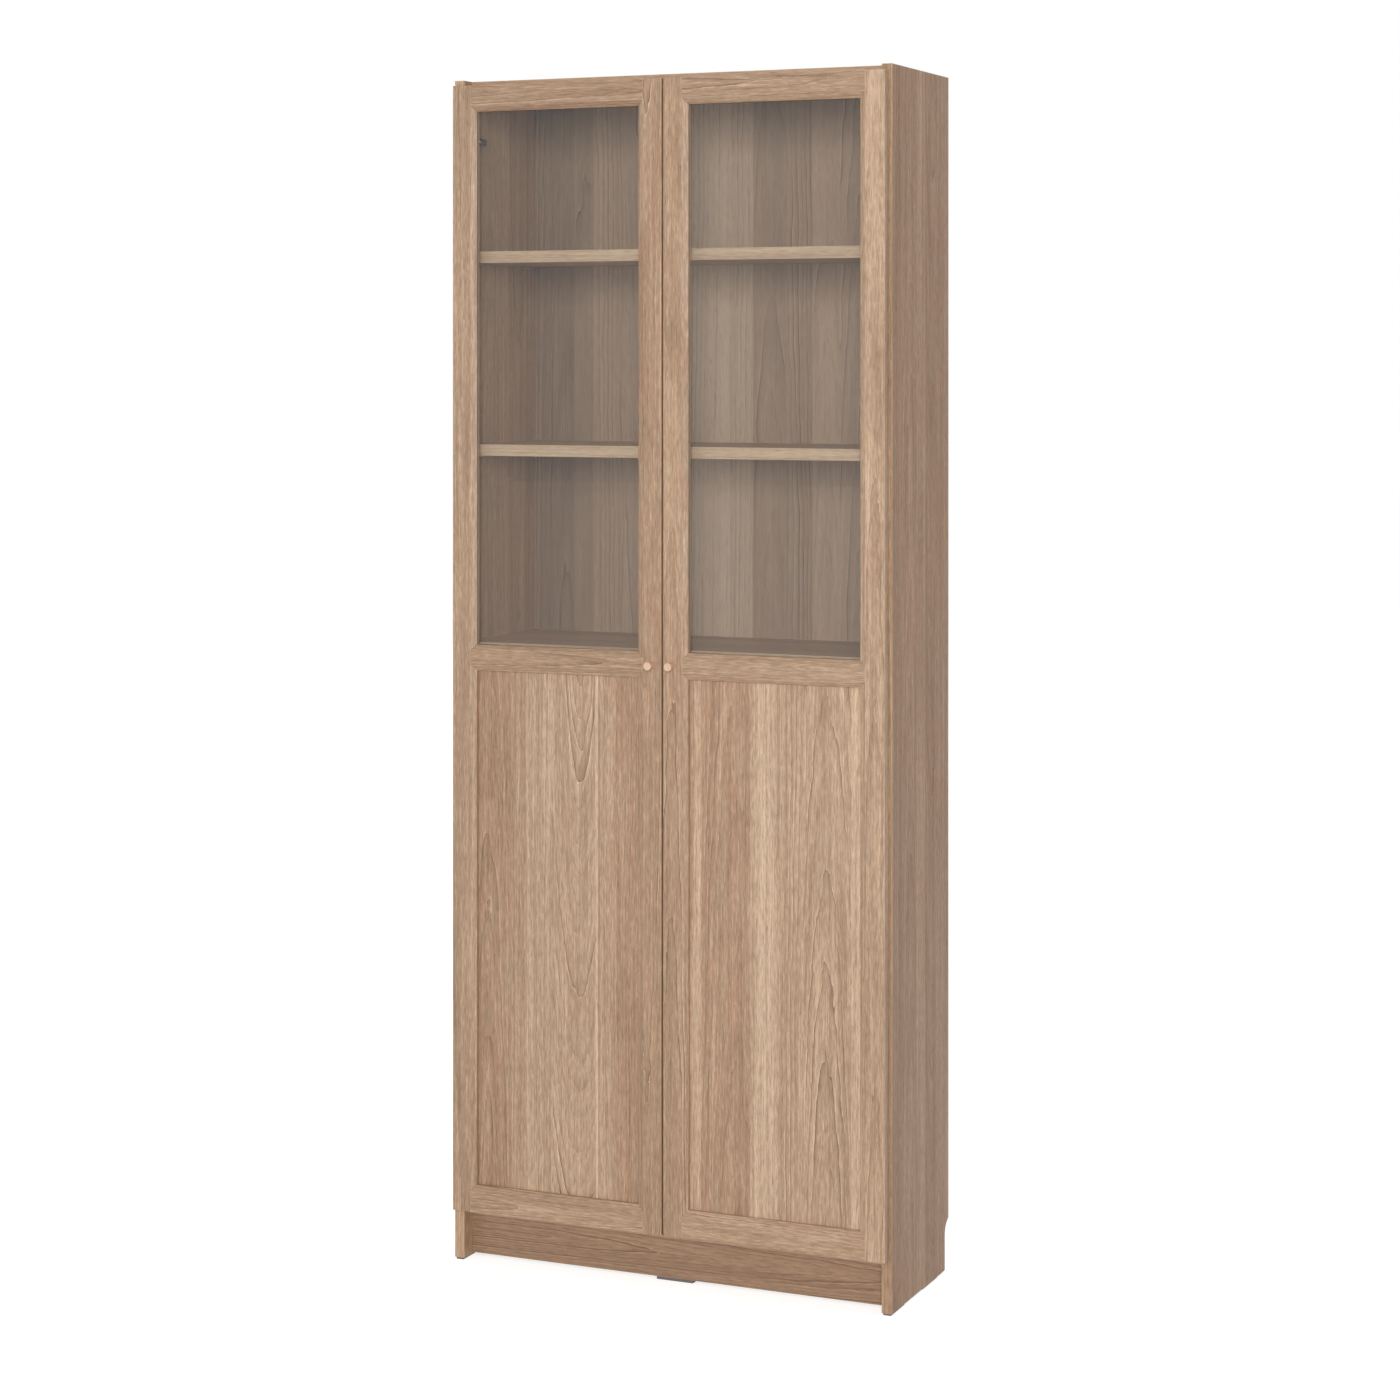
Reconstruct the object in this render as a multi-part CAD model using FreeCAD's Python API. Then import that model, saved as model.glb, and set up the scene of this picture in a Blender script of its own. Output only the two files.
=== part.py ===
import FreeCAD, Part
import math
import os

# Tall bookcase with two framed doors, glazed above and panelled below.
# Millimetres: X runs to the right, Y to the back and Z up from the floor.
# Depths are counted from the front edge of the case. Pieces that come in pairs are made
# for the right-hand side and mirrored. At the end every piece is moved so that the origin
# lies on the floor under the middle of the whole bookcase.

# Case boards
CASE_WIDTH = 796.0
CASE_DEPTH = 280.0
CASE_HEIGHT = 2020.0
SIDE_THICK = 18.0
BOARD_THICK = 20.0
TOP_SETBACK = 30.0
BOARD_SETBACK = 12.0
MIDDLE_SHELF_TOP = 1058.5
BOTTOM_PANEL_TOP = 98.0

# Rounded cut at the rear foot of the sides, for a skirting board
SKIRTING_DEPTH = 19.0
SKIRTING_HEIGHT = 87.6
SKIRTING_RADIUS = 27.0

# Back panel in two leaves, with a tape along the fold
BACK_THICK = 3.0
BACK_INSET = 7.0
BACK_GROOVE = 7.0
BACK_CLEAR = 0.2
BACK_TOP_DROP = 2.0
TAPE_WIDTH = 40.0
TAPE_THICK = 0.4

# Loose shelves, a whole number of pin pitches apart
SHELF_THICK = 19.5
SHELF_SETBACK = 12.0
SHELF_END_CLEAR = 1.0
SHELF_BACK_CLEAR = 0.5
BAYS = 3
PIN_PITCH = 33.0
PIN_FIRST = 22.0

# Shelf pins, with a flat that the shelf rests on
PIN_INSET = 49.0
PIN_RADIUS = 2.5
PIN_SHANK = 9.0
PIN_STUB_RADIUS = 3.5
PIN_STUB = 9.5
PIN_FLAT = 2.0

# Plinth, middle foot and floor pads
PLINTH_SETBACK = 30.0
PLINTH_THICK = 16.0
PLINTH_LIFT = 5.5
FOOT_WIDTH = 66.0
FOOT_INSET = 3.0
FOOT_WALL = 3.0
FOOT_UPSTAND = 46.0
FOOT_RIB_DEPTH = 16.0
FOOT_SCREW_SPACING = 40.0
FOOT_SCREW_HEIGHT = 30.0
PAD_HEIGHT = 3.0
PAD_WIDTH = 13.0
FRONT_PAD_LENGTH = 65.0
FRONT_PAD_INSET = 1.0
REAR_PAD_LENGTH = 73.0
REAR_PAD_INSET = 34.0

# Dowels, cam bolts and cam locks in the case
DOWEL_RADIUS = 4.0
DOWEL_IN_SIDE = 10.0
DOWEL_IN_BOARD = 25.0
PLINTH_DOWEL_INSET = 18.0
FIXING_INSET = 45.0
BOLT_RADIUS = 3.0
BOLT_IN_SIDE = 10.0
BOLT_TIP = 3.0
CAM_RADIUS = 7.5
CAM_HEIGHT = 13.0
CAM_INSET = 34.0
CAM_SLOT_WIDTH = 2.0
CAM_SLOT_DEPTH = 2.5

# Screws and nails
SCREW_RADIUS = 1.75
SCREW_HEAD_RADIUS = 3.4
SCREW_HEAD_THICK = 1.8
SCREW_LENGTH = 12.0
NAIL_RADIUS = 0.8
NAIL_LENGTH = 18.0
NAIL_HEAD_RADIUS = 1.9
NAIL_HEAD_THICK = 0.8
NAIL_END = 80.0
NAILS_IN_A_ROW = 4
FIT_CLEAR = 0.05
END_CLEAR = 0.5

# Sides of the small hidden fittings, which have flats instead of a round face
SHANK_SIDES = 6
HEAD_SIDES = 6
CAM_SIDES = 8
CUP_SIDES = 12

# Doors
DOOR_REVEAL = 5.5
DOOR_MEETING_GAP = 3.0
DOOR_THICK = 16.0
DOOR_BACK_GAP = 3.0
DOOR_TOP_DROP = 10.5
DOOR_BOTTOM = 89.0
DOOR_EASE = 1.0
STILE_FLAT = 34.0
TOP_RAIL_FLAT = 35.0
MIDDLE_RAIL_FLAT = 24.0
MIDDLE_RAIL_DROP = 24.0
BOTTOM_RAIL_FLAT = 36.5
BEVEL_WIDTH = 10.0
BEVEL_DEPTH = 5.5
REBATE_WIDTH = 8.0
PANE_CLEAR = 0.5
GLASS_THICK = 4.0
PANEL_THICK = 4.0
STRIP_WIDTH = 10.0
STRIP_THICK = 1.6
STRIP_INSET = 1.0
DOOR_DOWEL_RADIUS = 3.0
DOOR_DOWEL_LENGTH = 24.0

# Knobs
KNOB_RADIUS = 7.0
KNOB_BASE_RADIUS = 5.5
KNOB_LENGTH = 20.0
KNOB_RIM = 1.2
KNOB_SCREW_RADIUS = 2.0
KNOB_SCREW_GRIP = 12.0
KNOB_SCREW_HEAD_RADIUS = 4.0
KNOB_SCREW_HEAD_THICK = 2.2

# Hinges: a cup in the door, a pivot pin across it, and an arm on a plate in the case
HINGE_END = 92.5
HINGE_BELOW_SHELF = 54.0
CUP_RADIUS = 13.0
CUP_DEPTH = 11.5
CUP_WALL = 1.0
CUP_EDGE = 3.0
FLANGE_THICK = 1.0
FLANGE_LAP = 0.5
FLANGE_WING_WIDTH = 13.0
FLANGE_WING_END = 4.5
CUP_SCREW_SPACING = 38.0
CUP_SCREW_LENGTH = 8.0
AXIS_DEPTH = 8.0
SWING_CLEAR = 0.4
PIVOT_RADIUS = 1.0
PIVOT_COVER = 0.5
RUN_CLEAR = 0.05
EAR_RADIUS = 2.6
KNUCKLE_RADIUS = 2.2
KNUCKLE_HEIGHT = 6.0
KNUCKLE_CLEAR = 0.3
ARM_THICK = 2.0
ARM_HEIGHT = 12.0
ARM_CLEAR = 0.5
ARM_SHOULDER = 2.0
ARM_TAIL = 71.0
CHEEK_THICK = 1.2
CHEEK_CLEAR = 0.3
PLATE_SETBACK = 37.0
PLATE_BAR_LENGTH = 50.0
PLATE_WING_WIDTH = 14.0
PLATE_WING_HEIGHT = 46.0
PLATE_WING_THICK = 2.5
PLATE_SCREW_SPACING = 32.0
ARM_SCREW_SETBACK = 46.0
ARM_SCREW_GRIP = 4.0

# Places that follow from the sizes above
SIDE_FACE = CASE_WIDTH / 2 - SIDE_THICK
SIDE_MIDDLE = CASE_WIDTH / 2 - SIDE_THICK / 2
BACK_FACE = CASE_DEPTH - BACK_INSET - BACK_THICK
BACK_REAR = BACK_FACE + BACK_THICK
TOP_UNDER = CASE_HEIGHT - BOARD_THICK
MIDDLE_UNDER = MIDDLE_SHELF_TOP - BOARD_THICK
BOTTOM_UNDER = BOTTOM_PANEL_TOP - BOARD_THICK
PLINTH_REAR = PLINTH_SETBACK + PLINTH_THICK

DOOR_BACK = -DOOR_BACK_GAP
DOOR_FRONT = DOOR_BACK - DOOR_THICK
DOOR_MIDDLE = (DOOR_BACK + DOOR_FRONT) / 2
DOOR_EDGE = CASE_WIDTH / 2 - DOOR_REVEAL
DOOR_MEET = DOOR_MEETING_GAP / 2
DOOR_TOP = CASE_HEIGHT - DOOR_TOP_DROP
FLAT_LEFT = DOOR_MEET + STILE_FLAT
FLAT_RIGHT = DOOR_EDGE - STILE_FLAT
MIDDLE_RAIL_Z = MIDDLE_SHELF_TOP - MIDDLE_RAIL_DROP
TOP_RAIL_LOW = DOOR_TOP - TOP_RAIL_FLAT
MIDDLE_RAIL_HIGH = MIDDLE_RAIL_Z + MIDDLE_RAIL_FLAT / 2
MIDDLE_RAIL_LOW = MIDDLE_RAIL_Z - MIDDLE_RAIL_FLAT / 2
BOTTOM_RAIL_HIGH = DOOR_BOTTOM + BOTTOM_RAIL_FLAT
GLASS_OPENING = (MIDDLE_RAIL_HIGH, TOP_RAIL_LOW)
PANEL_OPENING = (BOTTOM_RAIL_HIGH, MIDDLE_RAIL_LOW)
KNOB_X = DOOR_MEET + STILE_FLAT / 2

# The pivot stands so far in from the door's edge that the door's back corner just clears the case
SWING_GAP = DOOR_BACK_GAP - SWING_CLEAR
AXIS_INSET = math.sqrt(SWING_GAP * SWING_GAP + 2 * AXIS_DEPTH * SWING_GAP)
AXIS_X = DOOR_EDGE - AXIS_INSET
AXIS_Y = DOOR_BACK - AXIS_DEPTH
CUP_X = DOOR_EDGE - CUP_EDGE - CUP_RADIUS
CUP_FLOOR = DOOR_BACK - CUP_DEPTH
FLANGE_REAR = DOOR_BACK + FLANGE_THICK
PIVOT_HALF = math.sqrt(CUP_RADIUS**2 - (AXIS_X + PIVOT_RADIUS - CUP_X) ** 2) - PIVOT_COVER
ARM_OUTER = AXIS_X - math.hypot(AXIS_INSET, AXIS_DEPTH) - ARM_CLEAR
ARM_INNER = ARM_OUTER - ARM_THICK
HINGE_HEIGHTS = (DOOR_BOTTOM + HINGE_END, MIDDLE_UNDER - HINGE_BELOW_SHELF, DOOR_TOP - HINGE_END)

FRONT_REACH = DOOR_BACK_GAP + DOOR_THICK + KNOB_LENGTH
TO_ORIGIN = FreeCAD.Vector(0, (FRONT_REACH - CASE_DEPTH) / 2, 0)


def box(x, y, z):
    """Box between the ends of a range along each axis."""
    corner = FreeCAD.Vector(x[0], y[0], z[0])
    return Part.makeBox(x[1] - x[0], y[1] - y[0], z[1] - z[0], corner)


def rod(radius, start, end):
    """Round rod from one point to another."""
    foot = FreeCAD.Vector(*start)
    axis = FreeCAD.Vector(*end) - foot
    return Part.makeCylinder(radius, axis.Length, foot, axis)


def faceted_rod(radius, sides, start, end):
    """Rod with flats along X, Y or Z, from one point to another, with its corners on the radius."""
    foot = FreeCAD.Vector(*start)
    axis = FreeCAD.Vector(*end) - foot
    across = FreeCAD.Vector(axis.z, axis.x, axis.y).normalize() * radius
    corners = []
    for number in range(sides):
        turn = FreeCAD.Rotation(axis, 360 * (number + 0.5) / sides)
        corners.append(foot + turn.multVec(across))
    return Part.Face(Part.makePolygon(corners + corners[:1])).extrude(axis)


def round_fit(radius, sides):
    """Corner radius of a hole with flats that just takes a round rod of a radius."""
    return radius / math.cos(math.pi / sides)


def slab(outline, y):
    """Flat piece with an outline of X and Z points, as thick as the range along Y."""
    points = [FreeCAD.Vector(px, y[0], pz) for px, pz in outline + outline[:1]]
    return Part.Face(Part.makePolygon(points)).extrude(FreeCAD.Vector(0, y[1] - y[0], 0))


def around(middle, width):
    """Range of a width about a middle."""
    return (middle - width / 2, middle + width / 2)


def grown(span, amount):
    """Range with both ends moved outwards."""
    return (span[0] - amount, span[1] + amount)


def mirrored(shape):
    """Left-hand twin of a right-hand piece."""
    return shape.mirror(FreeCAD.Vector(0, 0, 0), FreeCAD.Vector(1, 0, 0))


def with_twins(shapes):
    """Right-hand pieces and their left-hand twins."""
    return shapes + [mirrored(shape) for shape in shapes]


def screw(seat, direction, radius, length, head_radius, head_thick):
    """Screw whose head lies against a seat, with its shank along the direction."""
    seat = FreeCAD.Vector(*seat)
    direction = FreeCAD.Vector(*direction)
    shank = faceted_rod(radius, SHANK_SIDES, seat, seat + direction * length)
    head = faceted_rod(head_radius, HEAD_SIDES, seat, seat - direction * head_thick)
    return shank.fuse(head).removeSplitter()


def screw_bore(seat, direction, radius, length):
    """Hole that a screw's shank fits, a little deeper than the shank."""
    start = FreeCAD.Vector(*seat)
    end = start + FreeCAD.Vector(*direction) * (length + END_CLEAR)
    return faceted_rod(radius + FIT_CLEAR, SHANK_SIDES, start, end)


def shelf_seats(floor, ceiling):
    """Heights of the undersides of the loose shelves in one half of the case."""
    holes = math.floor((ceiling - floor) / PIN_PITCH)
    step = math.ceil(holes / BAYS)
    return [floor + PIN_FIRST + (bay * step - 1) * PIN_PITCH for bay in range(1, BAYS)]


LOWER_SEATS = shelf_seats(BOTTOM_PANEL_TOP, MIDDLE_UNDER)
UPPER_SEATS = shelf_seats(MIDDLE_SHELF_TOP, TOP_UNDER)
PIN_DEPTHS = (PIN_INSET, CASE_DEPTH - PIN_INSET)
FIXED_BOARDS = {
    "top_panel": (TOP_SETBACK, TOP_UNDER),
    "middle_shelf": (BOARD_SETBACK, MIDDLE_UNDER),
    "bottom_panel": (BOARD_SETBACK, BOTTOM_UNDER),
}
PLINTH_DOWEL_HEIGHTS = (PLINTH_LIFT + PLINTH_DOWEL_INSET, BOTTOM_UNDER - PLINTH_DOWEL_INSET)


def board_bolts(front, under):
    """Places of the cam bolts at a fixed board's right end."""
    depths = (front + FIXING_INSET, BACK_FACE - FIXING_INSET)
    return [(depth, under + BOARD_THICK / 2) for depth in depths]


def board_dowel(front, under):
    """Place of the dowel at a fixed board's right end."""
    return ((front + BACK_FACE) / 2, under + BOARD_THICK / 2)


def dowel_places():
    """Places of all the dowels in the right side panel."""
    places = [board_dowel(*board) for board in FIXED_BOARDS.values()]
    depth = PLINTH_SETBACK + PLINTH_THICK / 2
    return places + [(depth, height) for height in PLINTH_DOWEL_HEIGHTS]


def nail_places():
    """Places across the back where the nails of one fixed board go."""
    reach = SIDE_FACE - NAIL_END
    gap = 2 * reach / (NAILS_IN_A_ROW - 1)
    return [-reach + gap * number for number in range(NAILS_IN_A_ROW)]


def dowel(place, radius, into_side, into_board, sides=SHANK_SIDES):
    """Dowel across the joint between a board's end and the right side panel."""
    depth, height = place
    start = (SIDE_FACE - into_board, depth, height)
    return faceted_rod(radius, sides, start, (SIDE_FACE + into_side, depth, height))


def nail_bores(under):
    """Holes for one fixed board's row of nails."""
    height = under + BOARD_THICK / 2
    seats = [(x, BACK_REAR, height) for x in nail_places()]
    return [screw_bore(seat, (0, -1, 0), NAIL_RADIUS, NAIL_LENGTH) for seat in seats]


def side_outline():
    """Edges of a side panel, with the arc of the skirting cut at its rear foot."""
    cut_face = CASE_DEPTH - SKIRTING_DEPTH
    rise = math.sqrt(SKIRTING_RADIUS**2 - (SKIRTING_RADIUS - SKIRTING_DEPTH) ** 2)
    arc_foot = SKIRTING_HEIGHT - rise
    half_turn = math.asin(rise / SKIRTING_RADIUS) / 2
    arc_middle = (
        cut_face + SKIRTING_RADIUS * (1 - math.cos(half_turn)),
        arc_foot + SKIRTING_RADIUS * math.sin(half_turn),
    )
    places = [
        (cut_face, arc_foot),
        arc_middle,
        (CASE_DEPTH, SKIRTING_HEIGHT),
        (CASE_DEPTH, CASE_HEIGHT),
        (0, CASE_HEIGHT),
        (0, PAD_HEIGHT),
        (cut_face, PAD_HEIGHT),
        (cut_face, arc_foot),
    ]
    points = [FreeCAD.Vector(SIDE_FACE, y, z) for y, z in places]
    edges = [Part.Arc(points[0], points[1], points[2]).toShape()]
    edges += [Part.LineSegment(a, b).toShape() for a, b in zip(points[2:-1], points[3:])]
    return Part.Wire(edges)


def side_panel():
    """Right side panel with its groove and fixing holes."""
    panel = Part.Face(side_outline()).extrude(FreeCAD.Vector(SIDE_THICK, 0, 0))
    groove = box(
        (SIDE_FACE, SIDE_FACE + BACK_GROOVE),
        grown((BACK_FACE, BACK_REAR), BACK_CLEAR),
        (BOTTOM_UNDER - BACK_CLEAR, CASE_HEIGHT),
    )
    tools = [groove]
    for front, under in FIXED_BOARDS.values():
        for place in board_bolts(front, under):
            tools.append(dowel(place, BOLT_RADIUS + FIT_CLEAR, BOLT_IN_SIDE + END_CLEAR, 0))
    for place in dowel_places():
        tools.append(dowel(place, DOWEL_RADIUS + FIT_CLEAR, DOWEL_IN_SIDE + END_CLEAR, 0))
    for place in pin_places():
        tools.append(dowel(place, PIN_RADIUS + FIT_CLEAR, PIN_SHANK + END_CLEAR, 0))
    for height in HINGE_HEIGHTS:
        for seat in plate_screw_seats(height):
            tools.append(screw_bore(seat, (1, 0, 0), SCREW_RADIUS, SCREW_LENGTH))
    return panel.cut(tools)


def fixed_board(front, under):
    """Board that joins the sides, with pockets for its dowels, cam bolts and cam locks."""
    height = under + BOARD_THICK / 2
    board = box((-SIDE_FACE, SIDE_FACE), (front, BACK_FACE), (under, under + BOARD_THICK))
    tools = [dowel(board_dowel(front, under), DOWEL_RADIUS + FIT_CLEAR, 0, DOWEL_IN_BOARD + END_CLEAR)]
    for depth, _ in board_bolts(front, under):
        tools.append(dowel((depth, height), BOLT_RADIUS + FIT_CLEAR, 0, CAM_INSET))
        pocket_foot = (SIDE_FACE - CAM_INSET, depth, under)
        pocket_top = (SIDE_FACE - CAM_INSET, depth, under + CAM_HEIGHT)
        tools.append(faceted_rod(CAM_RADIUS + FIT_CLEAR, CAM_SIDES, pocket_foot, pocket_top))
    return board.cut(with_twins(tools) + nail_bores(under))


def cam_bolts():
    """Bolts that reach from the sides into the cam locks."""
    bolts = []
    for front, under in FIXED_BOARDS.values():
        for place in board_bolts(front, under):
            bolts.append(dowel(place, BOLT_RADIUS, BOLT_IN_SIDE, CAM_INSET - BOLT_TIP))
    return with_twins(bolts)


def cam_locks():
    """Round cams under the fixed boards, each with a bolt hole and a driver slot."""
    locks = []
    for front, under in FIXED_BOARDS.values():
        for depth, height in board_bolts(front, under):
            middle = SIDE_FACE - CAM_INSET
            lock_top = (middle, depth, under + CAM_HEIGHT)
            lock = faceted_rod(CAM_RADIUS, CAM_SIDES, (middle, depth, under), lock_top)
            hole_start = (middle + BOLT_TIP - END_CLEAR, depth, height)
            hole_end = (middle + CAM_RADIUS, depth, height)
            hole = faceted_rod(BOLT_RADIUS + FIT_CLEAR, SHANK_SIDES, hole_start, hole_end)
            slot = box(
                around(middle, 2 * CAM_RADIUS),
                around(depth, CAM_SLOT_WIDTH),
                (under, under + CAM_SLOT_DEPTH),
            )
            locks.append(lock.cut([hole, slot]))
    return with_twins(locks)


def case_dowels():
    """Dowels between the sides and the fixed boards and plinth."""
    return with_twins([dowel(place, DOWEL_RADIUS, DOWEL_IN_SIDE, DOWEL_IN_BOARD) for place in dowel_places()])


def back_leaf():
    """Right leaf of the back panel, with its edge in the side's groove."""
    leaf = box(
        (0, SIDE_FACE + BACK_GROOVE - END_CLEAR),
        (BACK_FACE, BACK_REAR),
        (BOTTOM_UNDER, CASE_HEIGHT - BACK_TOP_DROP),
    )
    tools = []
    for _, under in FIXED_BOARDS.values():
        tools += nail_bores(under)
    return leaf.cut(tools)


def back_tape():
    """Tape along the fold of the back panel, on its rear."""
    return box(
        around(0, TAPE_WIDTH),
        (BACK_REAR, BACK_REAR + TAPE_THICK),
        (BOTTOM_UNDER, CASE_HEIGHT - BACK_TOP_DROP),
    )


def back_nails():
    """Nails through the back panel into the fixed boards."""
    nails = []
    for _, under in FIXED_BOARDS.values():
        for x in nail_places():
            seat = (x, BACK_REAR, under + BOARD_THICK / 2)
            nails.append(screw(seat, (0, -1, 0), NAIL_RADIUS, NAIL_LENGTH, NAIL_HEAD_RADIUS, NAIL_HEAD_THICK))
    return nails


def loose_shelf(seat):
    """Shelf that lies on four pins."""
    reach = SIDE_FACE - SHELF_END_CLEAR
    return box((-reach, reach), (SHELF_SETBACK, BACK_FACE - SHELF_BACK_CLEAR), (seat, seat + SHELF_THICK))


def pin_places():
    """Places of the shelf pins' axes on the right side panel."""
    seats = LOWER_SEATS + UPPER_SEATS
    return [(depth, seat - PIN_FLAT) for seat in seats for depth in PIN_DEPTHS]


def shelf_pins():
    """Stepped pins with a shank in the side and a wider stub with a flat top."""
    pins = []
    for depth, height in pin_places():
        shank = dowel((depth, height), PIN_RADIUS, PIN_SHANK, 0)
        stub = dowel((depth, height), PIN_STUB_RADIUS, 0, PIN_STUB, HEAD_SIDES)
        above_flat = box(
            (SIDE_FACE - PIN_STUB, SIDE_FACE),
            around(depth, 2 * PIN_STUB_RADIUS),
            (height + PIN_FLAT, height + PIN_STUB_RADIUS),
        )
        pins.append(stub.cut(above_flat).fuse(shank).removeSplitter())
    return with_twins(pins)


def plinth():
    """Board across the foot of the case, with holes for its dowels and the foot's screws."""
    board = box((-SIDE_FACE, SIDE_FACE), (PLINTH_SETBACK, PLINTH_REAR), (PLINTH_LIFT, BOTTOM_UNDER))
    depth = PLINTH_SETBACK + PLINTH_THICK / 2
    tools = []
    for height in PLINTH_DOWEL_HEIGHTS:
        tools.append(dowel((depth, height), DOWEL_RADIUS + FIT_CLEAR, 0, DOWEL_IN_BOARD + END_CLEAR))
    return board.cut(with_twins(tools) + foot_screw_bores())


def foot_screw_seats():
    """Places of the screws that hold the middle foot to the plinth."""
    return [(x, PLINTH_REAR + FOOT_WALL, FOOT_SCREW_HEIGHT) for x in around(0, FOOT_SCREW_SPACING)]


def foot_screw_bores():
    """Holes for the middle foot's screws."""
    return [screw_bore(seat, (0, -1, 0), SCREW_RADIUS, SCREW_LENGTH) for seat in foot_screw_seats()]


def middle_foot():
    """Foot under the middle of the plinth, with a wall and two ribs behind it."""
    width = around(0, FOOT_WIDTH)
    wall_rear = PLINTH_REAR + FOOT_WALL
    sole = box(width, (PLINTH_SETBACK + FOOT_INSET, wall_rear + FOOT_RIB_DEPTH), (0, PLINTH_LIFT))
    wall = box(width, (PLINTH_REAR, wall_rear), (PLINTH_LIFT, FOOT_UPSTAND))
    ribs = []
    for left in (width[0], width[1] - FOOT_WALL):
        corners = [
            FreeCAD.Vector(left, wall_rear, PLINTH_LIFT),
            FreeCAD.Vector(left, wall_rear + FOOT_RIB_DEPTH, PLINTH_LIFT),
            FreeCAD.Vector(left, wall_rear, FOOT_UPSTAND),
        ]
        face = Part.Face(Part.makePolygon(corners + corners[:1]))
        ribs.append(face.extrude(FreeCAD.Vector(FOOT_WALL, 0, 0)))
    return sole.fuse([wall] + ribs).removeSplitter().cut(foot_screw_bores())


def floor_pads():
    """Pads under the front and rear of both sides."""
    front = (FRONT_PAD_INSET, FRONT_PAD_INSET + FRONT_PAD_LENGTH)
    rear_end = CASE_DEPTH - SKIRTING_DEPTH - REAR_PAD_INSET
    rear = (rear_end - REAR_PAD_LENGTH, rear_end)
    return with_twins([box(around(SIDE_MIDDLE, PAD_WIDTH), span, (0, PAD_HEIGHT)) for span in (front, rear)])


def opening_tools(flat_span, pane_thick):
    """Shapes that cut one opening of a door: the bevel, the hole and the rebate behind it."""
    flat_x = (FLAT_LEFT, FLAT_RIGHT)
    sight_x = grown(flat_x, -BEVEL_WIDTH)
    sight_z = grown(flat_span, -BEVEL_WIDTH)
    bevel = Part.makeWedge(
        flat_x[0], DOOR_FRONT, flat_span[0], sight_z[0], sight_x[0],
        flat_x[1], DOOR_FRONT + BEVEL_DEPTH, flat_span[1], sight_z[1], sight_x[1],
    )
    hole = box(sight_x, (DOOR_FRONT, DOOR_BACK), sight_z)
    rebate = box(
        grown(sight_x, REBATE_WIDTH), (DOOR_BACK - pane_thick, DOOR_BACK), grown(sight_z, REBATE_WIDTH)
    )
    return [bevel, hole, rebate]


def door_tools():
    """Shapes that cut both openings of a door."""
    return opening_tools(GLASS_OPENING, GLASS_THICK) + opening_tools(PANEL_OPENING, PANEL_THICK)


def rail_heights():
    """Middles of the flats of the three rails, from the lowest up."""
    return (
        (DOOR_BOTTOM + BOTTOM_RAIL_HIGH) / 2,
        MIDDLE_RAIL_Z,
        (TOP_RAIL_LOW + DOOR_TOP) / 2,
    )


def door_dowels(radius, length):
    """Dowels across the joints between the rails and the stiles."""
    rods = []
    for height in rail_heights():
        for joint in (FLAT_LEFT, FLAT_RIGHT):
            left, right = around(joint, length)
            start = (left, DOOR_MIDDLE, height)
            rods.append(faceted_rod(radius, SHANK_SIDES, start, (right, DOOR_MIDDLE, height)))
    return rods


def eased_front(member, outer_x, outer_z):
    """Member with its sharp front edges taken off along the door's outer faces."""
    edges = []
    for edge in member.Edges:
        span = edge.BoundBox
        on_front = abs(span.YMin - DOOR_FRONT) < FIT_CLEAR and span.YLength < FIT_CLEAR
        along_z = span.XLength < FIT_CLEAR and any(abs(span.XMin - x) < FIT_CLEAR for x in outer_x)
        along_x = span.ZLength < FIT_CLEAR and any(abs(span.ZMin - z) < FIT_CLEAR for z in outer_z)
        if on_front and (along_z or along_x):
            edges.append(edge)
    return member.makeChamfer(DOOR_EASE, edges)


def stile(outer, flat, inward):
    """Upright of a door. Its bevelled inner edge is mitred to the rails at each opening."""
    sight = flat + inward * BEVEL_WIDTH
    outline = [(outer, DOOR_BOTTOM), (outer, DOOR_TOP), (flat, DOOR_TOP)]
    for low, high in (GLASS_OPENING, PANEL_OPENING):
        outline += [(flat, high), (sight, high - BEVEL_WIDTH), (sight, low + BEVEL_WIDTH), (flat, low)]
    outline.append((flat, DOOR_BOTTOM))
    upright = eased_front(slab(outline, (DOOR_FRONT, DOOR_BACK)), (outer,), (DOOR_BOTTOM, DOOR_TOP))
    bores = door_dowels(DOOR_DOWEL_RADIUS + FIT_CLEAR, DOOR_DOWEL_LENGTH + 2 * END_CLEAR)
    return upright.cut(door_tools() + bores)


def rail(low, high, bevel_low, bevel_high):
    """Cross-piece of a door between the stiles' flats, with a bevel at one or both edges."""
    sight_left, sight_right = grown((FLAT_LEFT, FLAT_RIGHT), -BEVEL_WIDTH)
    outline = [(FLAT_LEFT, low), (FLAT_LEFT, high)]
    if bevel_high:
        outline += [(sight_left, high + BEVEL_WIDTH), (sight_right, high + BEVEL_WIDTH)]
    outline += [(FLAT_RIGHT, high), (FLAT_RIGHT, low)]
    if bevel_low:
        outline += [(sight_right, low - BEVEL_WIDTH), (sight_left, low - BEVEL_WIDTH)]
    bar = slab(outline, (DOOR_FRONT, DOOR_BACK))
    if not (bevel_low and bevel_high):
        bar = eased_front(bar, (), (DOOR_BOTTOM, DOOR_TOP))
    bores = door_dowels(DOOR_DOWEL_RADIUS + FIT_CLEAR, DOOR_DOWEL_LENGTH + 2 * END_CLEAR)
    return bar.cut(door_tools() + bores)


def hinge_stile():
    """Outer stile with the bores for the hinge cups and their screws."""
    tools = []
    for height in HINGE_HEIGHTS:
        floor = (CUP_X, CUP_FLOOR - END_CLEAR, height)
        tools.append(faceted_rod(CUP_RADIUS + FIT_CLEAR, CUP_SIDES, floor, (CUP_X, DOOR_BACK, height)))
        tools += cup_screw_bores(height)
    return stile(DOOR_EDGE, FLAT_RIGHT, -1).cut(tools)


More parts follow.
